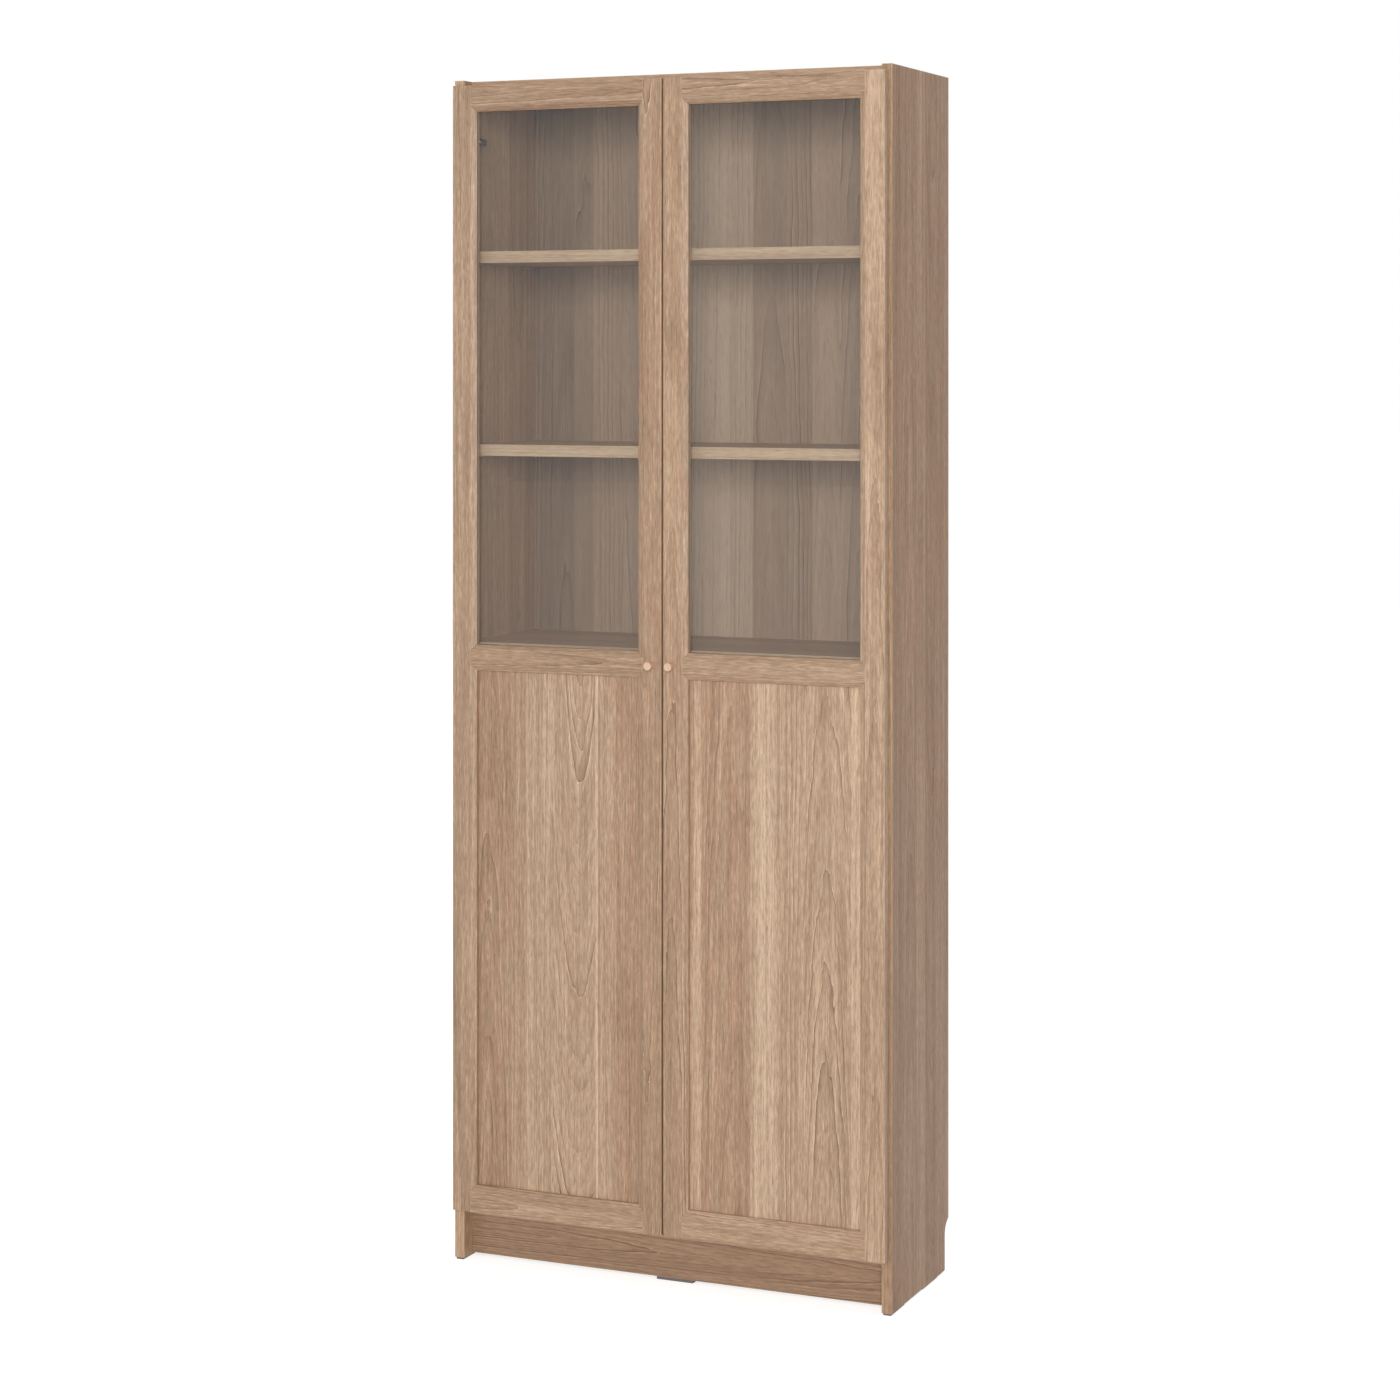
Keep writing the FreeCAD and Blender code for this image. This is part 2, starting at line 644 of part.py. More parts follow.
def meeting_stile():
    """Inner stile with the hole for the knob's screw."""
    seat = (KNOB_X, DOOR_BACK, MIDDLE_RAIL_Z)
    return stile(DOOR_MEET, FLAT_LEFT, 1).cut(screw_bore(seat, (0, -1, 0), KNOB_SCREW_RADIUS, DOOR_THICK))


def pane(flat_span, thick):
    """Glass or wood pane in the rebate of one opening, level with the door's back."""
    reach = REBATE_WIDTH - BEVEL_WIDTH - PANE_CLEAR
    span_x = grown((FLAT_LEFT, FLAT_RIGHT), reach)
    return box(span_x, (DOOR_BACK - thick, DOOR_BACK), grown(flat_span, reach))


def glass_strips():
    """Four mitred strips behind the edges of the glass."""
    inner_x = grown((FLAT_LEFT, FLAT_RIGHT), STRIP_INSET - BEVEL_WIDTH)
    inner_z = grown(GLASS_OPENING, STRIP_INSET - BEVEL_WIDTH)
    outer_x = grown(inner_x, STRIP_WIDTH)
    outer_z = grown(inner_z, STRIP_WIDTH)
    turns = ((0, 0), (1, 0), (1, 1), (0, 1))
    inner = [(inner_x[right], inner_z[top]) for right, top in turns]
    outer = [(outer_x[right], outer_z[top]) for right, top in turns]
    strips = []
    for corner in range(4):
        following = (corner + 1) % 4
        outline = [inner[corner], inner[following], outer[following], outer[corner]]
        strips.append(slab(outline, (DOOR_BACK, DOOR_BACK + STRIP_THICK)))
    return strips


def knob():
    """Turned knob that widens to an eased rim."""
    profile = [
        (0, 0),
        (KNOB_BASE_RADIUS, 0),
        (KNOB_RADIUS, KNOB_LENGTH - KNOB_RIM),
        (KNOB_RADIUS - KNOB_RIM, KNOB_LENGTH),
        (0, KNOB_LENGTH),
        (0, 0),
    ]
    outline = Part.makePolygon([FreeCAD.Vector(radius, -out, 0) for radius, out in profile])
    body = Part.Face(outline).revolve(FreeCAD.Vector(0, 0, 0), FreeCAD.Vector(0, 1, 0), 360)
    body = body.cut(screw_bore((0, 0, 0), (0, -1, 0), KNOB_SCREW_RADIUS, KNOB_SCREW_GRIP))
    body.translate(FreeCAD.Vector(KNOB_X, DOOR_FRONT, MIDDLE_RAIL_Z))
    return body


def knob_screw():
    """Screw from the back of the door into the knob."""
    return screw(
        (KNOB_X, DOOR_BACK, MIDDLE_RAIL_Z), (0, -1, 0), KNOB_SCREW_RADIUS, DOOR_THICK + KNOB_SCREW_GRIP,
        KNOB_SCREW_HEAD_RADIUS, KNOB_SCREW_HEAD_THICK,
    )


def cup_screw_seats(height):
    """Places of a hinge cup's screws, on its flange."""
    return [(CUP_X, FLANGE_REAR, offset) for offset in around(height, CUP_SCREW_SPACING)]


def cup_screw_bores(height):
    """Holes for a hinge cup's screws."""
    return [screw_bore(seat, (0, -1, 0), SCREW_RADIUS, CUP_SCREW_LENGTH) for seat in cup_screw_seats(height)]


def hinge_cup(height):
    """Cup with a winged flange, two ears that hold the pivot pin, and a relief for the arm."""
    inner_floor = CUP_FLOOR + CUP_WALL
    mouth = (CUP_X, DOOR_BACK, height)
    rim = (CUP_X, FLANGE_REAR, height)
    body = faceted_rod(CUP_RADIUS, CUP_SIDES, (CUP_X, CUP_FLOOR, height), mouth)
    flange = faceted_rod(CUP_RADIUS + FLANGE_LAP, CUP_SIDES, mouth, rim)
    wings = box(
        around(CUP_X, FLANGE_WING_WIDTH),
        (DOOR_BACK, FLANGE_REAR),
        grown(around(height, CUP_SCREW_SPACING), FLANGE_WING_END),
    )
    hollow = faceted_rod(CUP_RADIUS - CUP_WALL, CUP_SIDES, (CUP_X, inner_floor, height), rim)
    ear_foot = KNUCKLE_HEIGHT / 2 + KNUCKLE_CLEAR
    ears = []
    for side in (1, -1):
        span = sorted((height + side * ear_foot, height + side * CUP_RADIUS))
        ear = box((AXIS_X - EAR_RADIUS, DOOR_EDGE), (CUP_FLOOR, AXIS_Y + EAR_RADIUS), span)
        ears.append(ear.common(body))
    relief = box(
        (AXIS_X, DOOR_EDGE), (AXIS_Y + EAR_RADIUS, FLANGE_REAR), around(height, 2 * ear_foot)
    )
    pivot = pivot_hole(height, PIVOT_RADIUS + FIT_CLEAR, SHANK_SIDES)
    shell = body.fuse([flange, wings]).cut(hollow).fuse(ears).removeSplitter()
    return shell.cut([relief, pivot] + cup_screw_bores(height))


def cup_screws(height):
    """Screws that hold a hinge cup to its stile."""
    return [
        screw(seat, (0, -1, 0), SCREW_RADIUS, CUP_SCREW_LENGTH, SCREW_HEAD_RADIUS, SCREW_HEAD_THICK)
        for seat in cup_screw_seats(height)
    ]


def pivot_ends(height):
    """Ends of the pivot pin of one hinge."""
    return [(AXIS_X, AXIS_Y, end) for end in around(height, 2 * PIVOT_HALF)]


def pivot_pin(height):
    """Round pin that one hinge turns on."""
    return rod(PIVOT_RADIUS, *pivot_ends(height))


def pivot_hole(height, radius, sides):
    """Hole with flats round the pivot pin of one hinge."""
    return faceted_rod(round_fit(radius, sides), sides, *pivot_ends(height))


def arm_screw_seat(height):
    """Place of the screw that holds an arm to its plate."""
    return (ARM_INNER, ARM_SCREW_SETBACK, height)


def hinge_arm(height):
    """Arm with a knuckle on the pivot, a bent neck out of the cup and a channel over the plate."""
    neck_z = around(height, KNUCKLE_HEIGHT)
    channel_z = around(height, ARM_HEIGHT)
    channel_y = (ARM_SHOULDER, ARM_TAIL)
    web_y = around(AXIS_Y, ARM_THICK)
    knuckle_ends = [(AXIS_X, AXIS_Y, end) for end in neck_z]
    knuckle = faceted_rod(KNUCKLE_RADIUS, CUP_SIDES, *knuckle_ends)
    web = box((ARM_INNER, AXIS_X), web_y, neck_z)
    neck = box((ARM_INNER, ARM_OUTER), (web_y[0], ARM_SHOULDER), neck_z)
    face = box((ARM_INNER, ARM_OUTER), channel_y, channel_z)
    cheek_x = (ARM_OUTER, SIDE_FACE - PLATE_WING_THICK - CHEEK_CLEAR)
    low_cheek = box(cheek_x, channel_y, (channel_z[0], channel_z[0] + CHEEK_THICK))
    high_cheek = box(cheek_x, channel_y, (channel_z[1] - CHEEK_THICK, channel_z[1]))
    arm = knuckle.fuse([web, neck, face, low_cheek, high_cheek]).removeSplitter()
    pin_hole = pivot_hole(height, PIVOT_RADIUS + RUN_CLEAR, CUP_SIDES)
    screw_hole = screw_bore(arm_screw_seat(height), (1, 0, 0), SCREW_RADIUS, ARM_THICK + ARM_SCREW_GRIP)
    return arm.cut([pin_hole, screw_hole])


def hinge_plate(height):
    """Cross-shaped plate on the side panel, whose bar lies inside the arm's channel."""
    bar_height = ARM_HEIGHT - 2 * CHEEK_THICK - 2 * CHEEK_CLEAR
    bar_y = around(PLATE_SETBACK, PLATE_BAR_LENGTH)
    bar = box((ARM_OUTER, SIDE_FACE), bar_y, around(height, bar_height))
    wings = box(
        (SIDE_FACE - PLATE_WING_THICK, SIDE_FACE),
        around(PLATE_SETBACK, PLATE_WING_WIDTH),
        around(height, PLATE_WING_HEIGHT),
    )
    tools = [screw_bore(arm_screw_seat(height), (1, 0, 0), SCREW_RADIUS, ARM_THICK + ARM_SCREW_GRIP)]
    for seat in plate_screw_seats(height):
        tools.append(screw_bore(seat, (1, 0, 0), SCREW_RADIUS, SCREW_LENGTH))
    return bar.fuse(wings).removeSplitter().cut(tools)


def plate_screw_seats(height):
    """Places of the screws on a plate's wings."""
    face = SIDE_FACE - PLATE_WING_THICK
    return [(face, PLATE_SETBACK, offset) for offset in around(height, PLATE_SCREW_SPACING)]


def hinge_screws(height):
    """Screws of one plate, and the one that holds the arm to it."""
    screws = []
    for seat in plate_screw_seats(height):
        screws.append(screw(seat, (1, 0, 0), SCREW_RADIUS, SCREW_LENGTH, SCREW_HEAD_RADIUS, SCREW_HEAD_THICK))
    grip = ARM_THICK + ARM_SCREW_GRIP
    screws.append(
        screw(arm_screw_seat(height), (1, 0, 0), SCREW_RADIUS, grip, SCREW_HEAD_RADIUS, SCREW_HEAD_THICK)
    )
    return screws


def on_all_hinges(maker):
    """One piece, or list of pieces, for each hinge of a door."""
    pieces = []
    for height in HINGE_HEIGHTS:
        made = maker(height)
        pieces += made if isinstance(made, list) else [made]
    return pieces


def write(name, shapes):
    """Move the solids of one piece to the origin's frame and write them."""
    solids = shapes if isinstance(shapes, list) else [shapes]
    whole = solids[0].copy() if len(solids) == 1 else Part.makeCompound(solids)
    whole.translate(TO_ORIGIN)
    whole.exportStep("parts/" + name + ".step")
    sound = whole.isValid() and len(whole.Solids) == len(solids)
    state = "sound" if sound else "NOT SOUND"
    print(f"{name}: {len(whole.Solids)} solids, {whole.Volume / 1000:.2f} cm3, {state}")


def write_pair(name, shapes):
    """Write a right-hand piece and its left-hand twin."""
    solids = shapes if isinstance(shapes, list) else [shapes]
    write("right_" + name, solids)
    write("left_" + name, [mirrored(solid) for solid in solids])


def build_case():
    """Write the fixed pieces of the case."""
    write_pair("side_panel", side_panel())
    for name, place in FIXED_BOARDS.items():
        write(name, fixed_board(*place))
    for half, seats in (("lower", LOWER_SEATS), ("upper", UPPER_SEATS)):
        for number, seat in enumerate(seats, start=1):
            write(f"{half}_shelf_{number}", loose_shelf(seat))
    write("shelf_pins", shelf_pins())
    write("plinth", plinth())
    write("middle_foot", middle_foot())
    foot_seats = foot_screw_seats()
    write("middle_foot_screws", [
        screw(seat, (0, -1, 0), SCREW_RADIUS, SCREW_LENGTH, SCREW_HEAD_RADIUS, SCREW_HEAD_THICK)
        for seat in foot_seats
    ])
    write("floor_pads", floor_pads())
    write_pair("back_leaf", back_leaf())
    write("back_fold_tape", back_tape())
    write("back_nails", back_nails())
    write("case_dowels", case_dowels())
    write("cam_bolts", cam_bolts())
    write("cam_locks", cam_locks())
    write_pair("hinge_plates", on_all_hinges(hinge_plate))
    write_pair("hinge_arms", on_all_hinges(hinge_arm))
    write_pair("hinge_screws", on_all_hinges(hinge_screws))


def build_doors():
    """Write the pieces that turn with the doors."""
    write_pair("door_hinge_stile", hinge_stile())
    write_pair("door_meeting_stile", meeting_stile())
    write_pair("door_top_rail", rail(TOP_RAIL_LOW, DOOR_TOP, True, False))
    write_pair("door_middle_rail", rail(MIDDLE_RAIL_LOW, MIDDLE_RAIL_HIGH, True, True))
    write_pair("door_bottom_rail", rail(DOOR_BOTTOM, BOTTOM_RAIL_HIGH, False, True))
    write_pair("door_glass", pane(GLASS_OPENING, GLASS_THICK))
    write_pair("door_panel", pane(PANEL_OPENING, PANEL_THICK))
    write_pair("glass_strips", glass_strips())
    write_pair("door_dowels", door_dowels(DOOR_DOWEL_RADIUS, DOOR_DOWEL_LENGTH))
    write_pair("knob", knob())
    write_pair("knob_screw", knob_screw())
    write_pair("hinge_cups", on_all_hinges(hinge_cup))
    write_pair("hinge_pins", on_all_hinges(pivot_pin))
    write_pair("cup_screws", on_all_hinges(cup_screws))


os.makedirs("parts", exist_ok=True)
build_case()
build_doors()
print(f"door pivot at X {AXIS_X:.4f}, Y {AXIS_Y + TO_ORIGIN.y:.4f}")
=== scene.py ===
"""Bookcase with glass doors: finishes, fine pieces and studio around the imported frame."""

import logging
import math
from dataclasses import dataclass
from enum import Enum
from functools import reduce

import bmesh
import bpy
from mathutils import Matrix, Vector


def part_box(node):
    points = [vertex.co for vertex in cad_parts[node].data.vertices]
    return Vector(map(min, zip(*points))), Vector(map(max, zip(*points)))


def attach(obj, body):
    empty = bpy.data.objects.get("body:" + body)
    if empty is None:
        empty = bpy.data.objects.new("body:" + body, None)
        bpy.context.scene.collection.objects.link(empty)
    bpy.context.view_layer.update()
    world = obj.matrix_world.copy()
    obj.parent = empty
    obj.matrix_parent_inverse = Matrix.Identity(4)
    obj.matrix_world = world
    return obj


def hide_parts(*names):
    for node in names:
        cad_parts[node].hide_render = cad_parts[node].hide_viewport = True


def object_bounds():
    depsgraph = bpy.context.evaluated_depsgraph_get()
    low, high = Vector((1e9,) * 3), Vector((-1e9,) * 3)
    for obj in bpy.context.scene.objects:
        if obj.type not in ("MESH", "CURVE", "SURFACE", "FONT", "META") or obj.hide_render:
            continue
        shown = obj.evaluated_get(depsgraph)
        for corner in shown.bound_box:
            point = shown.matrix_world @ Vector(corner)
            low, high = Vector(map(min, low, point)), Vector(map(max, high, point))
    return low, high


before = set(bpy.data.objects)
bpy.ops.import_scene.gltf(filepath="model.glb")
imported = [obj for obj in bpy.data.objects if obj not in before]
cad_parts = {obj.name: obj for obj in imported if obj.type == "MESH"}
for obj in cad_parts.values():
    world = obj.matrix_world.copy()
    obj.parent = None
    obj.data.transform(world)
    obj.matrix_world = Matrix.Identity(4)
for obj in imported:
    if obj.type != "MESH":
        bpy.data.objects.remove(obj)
CAD_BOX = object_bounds()
LOG = logging.getLogger("bookcase")
MM = 0.001
SAME_POINT = 1e-6
SHORTEST_EDGE = 1e-7
SHARP_ANGLE = math.radians(40.0)
WHITE = (1.0, 1.0, 1.0, 1.0)

Colour = tuple[float, float, float]
Triple = tuple[float, float, float]


def srgb(red: int, green: int, blue: int) -> Colour:
    """Turn a colour as seen on screen into the linear colour that shaders use.

    Args:
        red: Red level, 0 to 255.
        green: Green level, 0 to 255.
        blue: Blue level, 0 to 255.

    Returns:
        The linear red, green and blue.
    """
    levels = (level / 255.0 for level in (red, green, blue))
    return tuple(v / 12.92 if v <= 0.04045 else ((v + 0.055) / 1.055) ** 2.4 for v in levels)


def opaque(colour: Colour, level: float = 1.0) -> tuple[float, float, float, float]:
    """Scale a colour and give it full alpha, as colour sockets want it."""
    return (*(channel * level for channel in colour), 1.0)


class Side(Enum):
    """The two hands of the bookcase, with the sign of X on each."""

    LEFT = -1
    RIGHT = 1

    @property
    def word(self) -> str:
        """The word that node names start with on this side."""
        return self.name.lower()

    @property
    def door(self) -> str:
        """The name of the door's body on this side."""
        return f"{self.word}_door"


class Grain(Enum):
    """Which of the axes X, Y and Z, counted from 0, lie across, into and along the grain of a board."""

    UPRIGHT_FRONT = (0, 1, 2)
    UPRIGHT_SIDE = (1, 0, 2)
    LEVEL_FRONT = (2, 1, 0)
    LEVEL_FLAT = (1, 2, 0)
    OUTWARD = (0, 2, 1)


class Value:
    """A number, colour or vector that varies over a surface. Arithmetic on it adds math nodes."""

    def __init__(self, graph: "Graph", socket: bpy.types.NodeSocket) -> None:
        """Keep the output that gives the value, and the graph that it is part of."""
        self.graph = graph
        self.socket = socket

    def math(self, operation: str, *others: "Source") -> "Value":
        """Work the value out further, by Blender's name for a sum, such as MAXIMUM."""
        return self.graph.join("ShaderNodeMath", self, *others, operation=operation)

    def __add__(self, other: "Source") -> "Value":
        """Add another value."""
        return self.math("ADD", other)

    def __sub__(self, other: "Source") -> "Value":
        """Take another value away."""
        return self.math("SUBTRACT", other)

    def __rsub__(self, other: float) -> "Value":
        """Take this value away from a plain number."""
        return self.graph.join("ShaderNodeMath", other, self, operation="SUBTRACT")

    def __mul__(self, other: "Source") -> "Value":
        """Multiply by another value."""
        return self.math("MULTIPLY", other)

    def __truediv__(self, other: "Source") -> "Value":
        """Divide by another value."""
        return self.math("DIVIDE", other)

    def hypot(self, other: "Value") -> "Value":
        """Find the long side of a right angle with these two short sides."""
        return (self * self + other * other).math("SQRT")

    def span(self, low: float, high: float, to_low: float = 0.0, to_high: float = 1.0,
             smooth: bool = True) -> "Value":
        """Map a range of values to another range, held at its ends.

        Args:
            low: Start of the range.
            high: End of the range.
            to_low: Result at the start.
            to_high: Result at the end.
            smooth: Whether the result eases in and out.

        Returns:
            The mapped value.
        """
        return self.graph.join("ShaderNodeMapRange", self, low, high, to_low, to_high,
                               interpolation_type="SMOOTHSTEP" if smooth else "LINEAR")


Source = Value | float | tuple[float, ...]


@dataclass(frozen=True)
class Noise:
    """Smooth noise: waves per metre on each axis, finer layers, their weight, and its part in a sum."""

    waves: Triple
    layers: float = 2.0
    weight: float = 0.55
    part: float = 0.0


class Graph:
    """Adds shader nodes to one node tree and joins them."""

    def __init__(self, tree: bpy.types.NodeTree) -> None:
        """Keep the tree that the nodes go into."""
        self.tree = tree

    def add(self, kind: str, **properties: object) -> bpy.types.Node:
        """Add one node.

        Args:
            kind: Blender's type name of the node.
            **properties: Properties to set on it.

        Returns:
            The new node.
        """
        node = self.tree.nodes.new(kind)
        for name, value in properties.items():
            setattr(node, name, value)
        return node

    def feed(self, socket: bpy.types.NodeSocket, source: Source) -> None:
        """Link a value to an input, or set the input's plain number, colour or vector.

        Args:
            socket: The input.
            source: What goes into it.
        """
        if isinstance(source, Value):
            self.tree.links.new(source.socket, socket)
        else:
            socket.default_value = source

    def fill(self, node: bpy.types.Node, **inputs: Source) -> None:
        """Feed a node's inputs by name, with an underscore for each blank."""
        for name, source in inputs.items():
            self.feed(node.inputs[name.replace("_", " ")], source)

    def out(self, node: bpy.types.Node, output: str | int) -> Value:
        """Take one of a node's outputs."""
        return Value(self, node.outputs[output])

    def join(self, kind: str, *sources: Source, **properties: object) -> Value:
        """Add a node, feed its inputs in order and take its first output.

        Args:
            kind: Blender's type name of the node.
            *sources: What goes into its inputs.
            **properties: Properties to set on it.

        Returns:
            The first output.
        """
        node = self.add(kind, **properties)
        for socket, source in zip(node.inputs, sources):
            self.feed(socket, source)
        return self.out(node, 0)

    def vector(self, operation: str, first: Source, second: Source) -> Value:
        """Work out a vector from two, by Blender's name for a sum, such as ADD."""
        return self.join("ShaderNodeVectorMath", first, second, operation=operation)

    def split(self, source: Value, kind: str = "ShaderNodeSeparateXYZ") -> list[Value]:
        """Take a vector or a colour apart.

        Args:
            source: The vector or colour.
            kind: Blender's type name of the node that does it.

        Returns:
            Its three parts.
        """
        node = self.add(kind)
        self.feed(node.inputs[0], source)
        return [self.out(node, part) for part in range(3)]

    def noise(self, place: Value, kind: Noise) -> Value:
        """Add smooth noise.

        Args:
            place: Place on the surface, in metres.
            kind: Its waves and layers.

        Returns:
            A value from 0 to 1, mostly near one half.
        """
        node = self.add("ShaderNodeTexNoise")
        self.fill(node, Vector=self.vector("MULTIPLY", place, kind.waves), Scale=1.0, Detail=kind.layers,
                  Roughness=kind.weight)
        return self.out(node, 0)

    def blend(self, factor: Source, first: Source, second: Source, mode: str = "MIX") -> Value:
        """Blend two colours.

        Args:
            factor: Share of the second colour.
            first: The colour below.
            second: The colour above.
            mode: Blender's name for the way of mixing.

        Returns:
            The blended colour.
        """
        node = self.add("ShaderNodeMix", data_type="RGBA", blend_type=mode)
        colours = [socket for socket in node.inputs if socket.type == "RGBA"]
        for socket, source in zip((node.inputs["Factor"], *colours), (factor, first, second)):
            self.feed(socket, source)
        return Value(self, next(socket for socket in node.outputs if socket.type == "RGBA"))


class Group(Graph):
    """A shader group that several finishes share, while it is built."""

    def __init__(self, name: str, inputs: dict[str, tuple[str, ...]],
                 outputs: dict[str, tuple[str, ...]]) -> None:
        """Start the group with its named sockets.

        Args:
            name: Name of the group.
            inputs: Names of the inputs of each kind of socket.
            outputs: Names of the outputs of each kind of socket.
        """
        super().__init__(bpy.data.node_groups.new(name, "ShaderNodeTree"))
        for way, sockets in (("INPUT", inputs), ("OUTPUT", outputs)):
            for kind, labels in sockets.items():
                for label in labels:
                    self.tree.interface.new_socket(label, in_out=way, socket_type=f"NodeSocket{kind}")
        entry = self.add("NodeGroupInput")
        self.take = {label: self.out(entry, label) for labels in inputs.values() for label in labels}
        self.leave = self.add("NodeGroupOutput")

    def close(self, **outputs: Value) -> bpy.types.NodeTree:
        """Feed the group's outputs and hand it over."""
        self.fill(self.leave, **outputs)
        return self.tree


@dataclass(frozen=True)
class OakFigure:
    """The figure of oak: rings of uneven strength round a heart, fibres, pores and flames.

    Lengths are in metres. A span names the values at which a mask starts and ends, and the mask there.
    """

    seed_steps: Triple = (7.31, 3.17, 1.73)
    wander: Noise = Noise((14.0, 14.0, 2.4))
    wander_across: float = 16.0 * MM
    wander_into: float = 6.0 * MM
    jag: Noise = Noise((60.0, 60.0, 14.0), 3.0)
    jag_turns: float = 0.85
    early_share: float = 0.22
    fewest_turns: float = 12.0
    fade_power: float = 2.5
    fade_weight: float = 0.9
    line_span: tuple[float, ...] = (0.0, 3.2 * MM, 0.65, 0.0)
    pale_span: tuple[float, ...] = (-3.0 * MM, -0.2 * MM)
    pale_weight: float = 0.45
    year_span: tuple[float, ...] = (0.2, 0.95, 0.16, 1.0)
    figure_weight: float = 0.56
    fibre: Noise = Noise((500.0, 500.0, 50.0), 3.0, 0.7, 0.80)
    fibre_span: tuple[float, ...] = (0.30, 0.55, 0.6, 1.0)
    hairs: Noise = Noise((300.0, 300.0, 3.6), 3.0, 0.6, 0.42)
    streaks: Noise = Noise((105.0, 105.0, 1.8), part=0.22)
    veins: Noise = Noise((1.5, 1.0, 0.8), 3.0, 0.6, 0.36)
    broad: Noise = Noise((46.0, 46.0, 1.2), part=0.22)
    patch: Noise = Noise((24.0, 24.0, 5.0), part=0.20)
    patch_span: tuple[float, ...] = (0.34, 0.60, 0.35, 1.0)
    flame: Noise = Noise((60.0, 60.0, 9.0))
    flame_shift: Triple = (3.0, 5.0, 2.0)
    flame_span: tuple[float, ...] = (0.36, 0.64, 0.3, 1.5)
    pores: Noise = Noise((700.0, 700.0, 60.0), 1.0)
    pore_span: tuple[float, ...] = (0.54, 0.68)
    pore_share: float = 0.4
    pore_depth: float = 0.7

    def build(self) -> bpy.types.NodeTree:
        """Build the group, which works on a vector that runs across, into and along the grain.

        Returns:
            The group.
        """
        inputs = {"Vector": ("Vector",),
                  "Float": ("Into", "Strip", "Figure", "Offset", "Taper", "Rise", "Depth", "Gap", "Year",
                            "Contrast", "Seed")}
        group = Group("oak_grain", inputs, {"Float": ("Tone", "Pores", "Flame", "Height")})
        take = group.take
        seed = group.join("ShaderNodeCombineXYZ", *(take["Seed"] * step for step in self.seed_steps))
        place = group.vector("ADD", take["Vector"], seed)
        along = group.split(take["Vector"])[2]
        turns, ring, pale, strong = self._rings(group, place, along)
        trail = group.join("ShaderNodeCombineXYZ", turns, take["Seed"], along)
        kinds = (self.fibre, self.hairs, self.streaks, self.veins, self.broad, self.patch)
        waves = [group.noise(trail if kind is self.veins else place, kind) for kind in kinds]
        fibre, patch = waves[0], waves[-1]
        detail = reduce(Value.__add__, ((wave - 0.5) * kind.part for wave, kind in zip(waves, kinds)))
        lines = (ring - pale * self.pale_weight) * strong * fibre.span(*self.fibre_span)
        lines = lines * patch.span(*self.patch_span) * take["Figure"]
        flame = group.noise(group.vector("ADD", place, self.flame_shift), self.flame)
        pores = group.noise(place, self.pores).span(*self.pore_span)
        pores = pores * (ring * (1.0 - self.pore_share) + self.pore_share)
        tone = detail * take["Contrast"] + take["Strip"] - lines * self.figure_weight
        return group.close(Tone=tone, Pores=pores, Flame=flame.span(*self.flame_span),
                           Height=fibre - pores * self.pore_depth)

    def _rings(self, group: Group, place: Value, along: Value) -> tuple[Value, Value, Value, Value]:
        """Lay the rings round the heart.

        Args:
            group: The group.
            place: Place on the board, moved by its seed.
            along: Place along the grain.

        Returns:
            The turns from the heart, the dark late wood, the pale wood beside it, and the year's strength.
        """
        take = group.take
        wander = group.noise(place, self.wander) - 0.5
        across = wander * self.wander_across + take["Offset"]
        depth = (along - take["Rise"]) * take["Taper"] + take["Depth"]
        depth = wander * self.wander_into + depth + take["Into"]
        radius = across.hypot(depth)
        steep = across.hypot(depth * take["Taper"]) / (radius * take["Gap"])
        turns = (group.noise(place, self.jag) - 0.5) * self.jag_turns + radius / take["Gap"]
        inner = self.early_share - turns
        phase = inner.math("FRACT") - self.early_share
        away = phase / steep.math("MAXIMUM", self.fewest_turns)
        late = phase.math("GREATER_THAN", 0.0)
        fade = (1.0 - self.early_share - phase).math("POWER", self.fade_power)
        ring = (fade * self.fade_weight + away.span(*self.line_span)) * late
        pale = (away.span(*self.pale_span) - late).math("MAXIMUM", 0.0)
        year = group.add("ShaderNodeTexWhiteNoise", noise_dimensions="1D")
        group.fill(year, W=take["Year"] - inner.math("FLOOR"))
        return turns, ring, pale, group.out(year, "Value").span(*self.year_span)


@dataclass(frozen=True)
class OakColouring:
    """The colouring of the figure between dark, middle and light wood, with a painted highlight along the
    edges, and the roughness with it.
    """

    pore_share: float = 0.45
    edge_share: float = 0.45
    roughness: float = 0.44
    pore_roughness: float = 0.20
    edge_polish: float = 0.06
    dark_roughness: float = 0.12

    def build(self) -> bpy.types.NodeTree:
        """Build the group.

        Returns:
            The group.
        """
        group = Group("oak_colour", {"Float": ("Tone", "Pores", "Flame", "Blush", "Edge"),
                                     "Color": ("Dark", "Middle", "Light", "Blush Colour", "Pore Colour",
                                               "Edge Colour")},
                      {"Color": ("Colour",), "Float": ("Roughness",)})
        take = group.take
        tone, pores, edge = take["Tone"], take["Pores"], take["Edge"]
        colour = group.blend(tone.span(0.0, 0.5, smooth=False), take["Dark"], take["Middle"])
        colour = group.blend(tone.span(0.5, 1.0, smooth=False), colour, take["Light"])
        colour = group.blend(take["Blush"] * take["Flame"], colour, take["Blush Colour"], "MULTIPLY")
        colour = group.blend(pores * self.pore_share, colour, take["Pore Colour"])
        # Painted highlight: the lighter edge colour laid along the board's edges.
        colour = group.blend(edge * self.edge_share, colour, take["Edge Colour"])
        rough = pores * self.pore_roughness + self.roughness - edge * self.edge_polish
        return group.close(Colour=colour, Roughness=(0.5 - tone) * self.dark_roughness + rough)


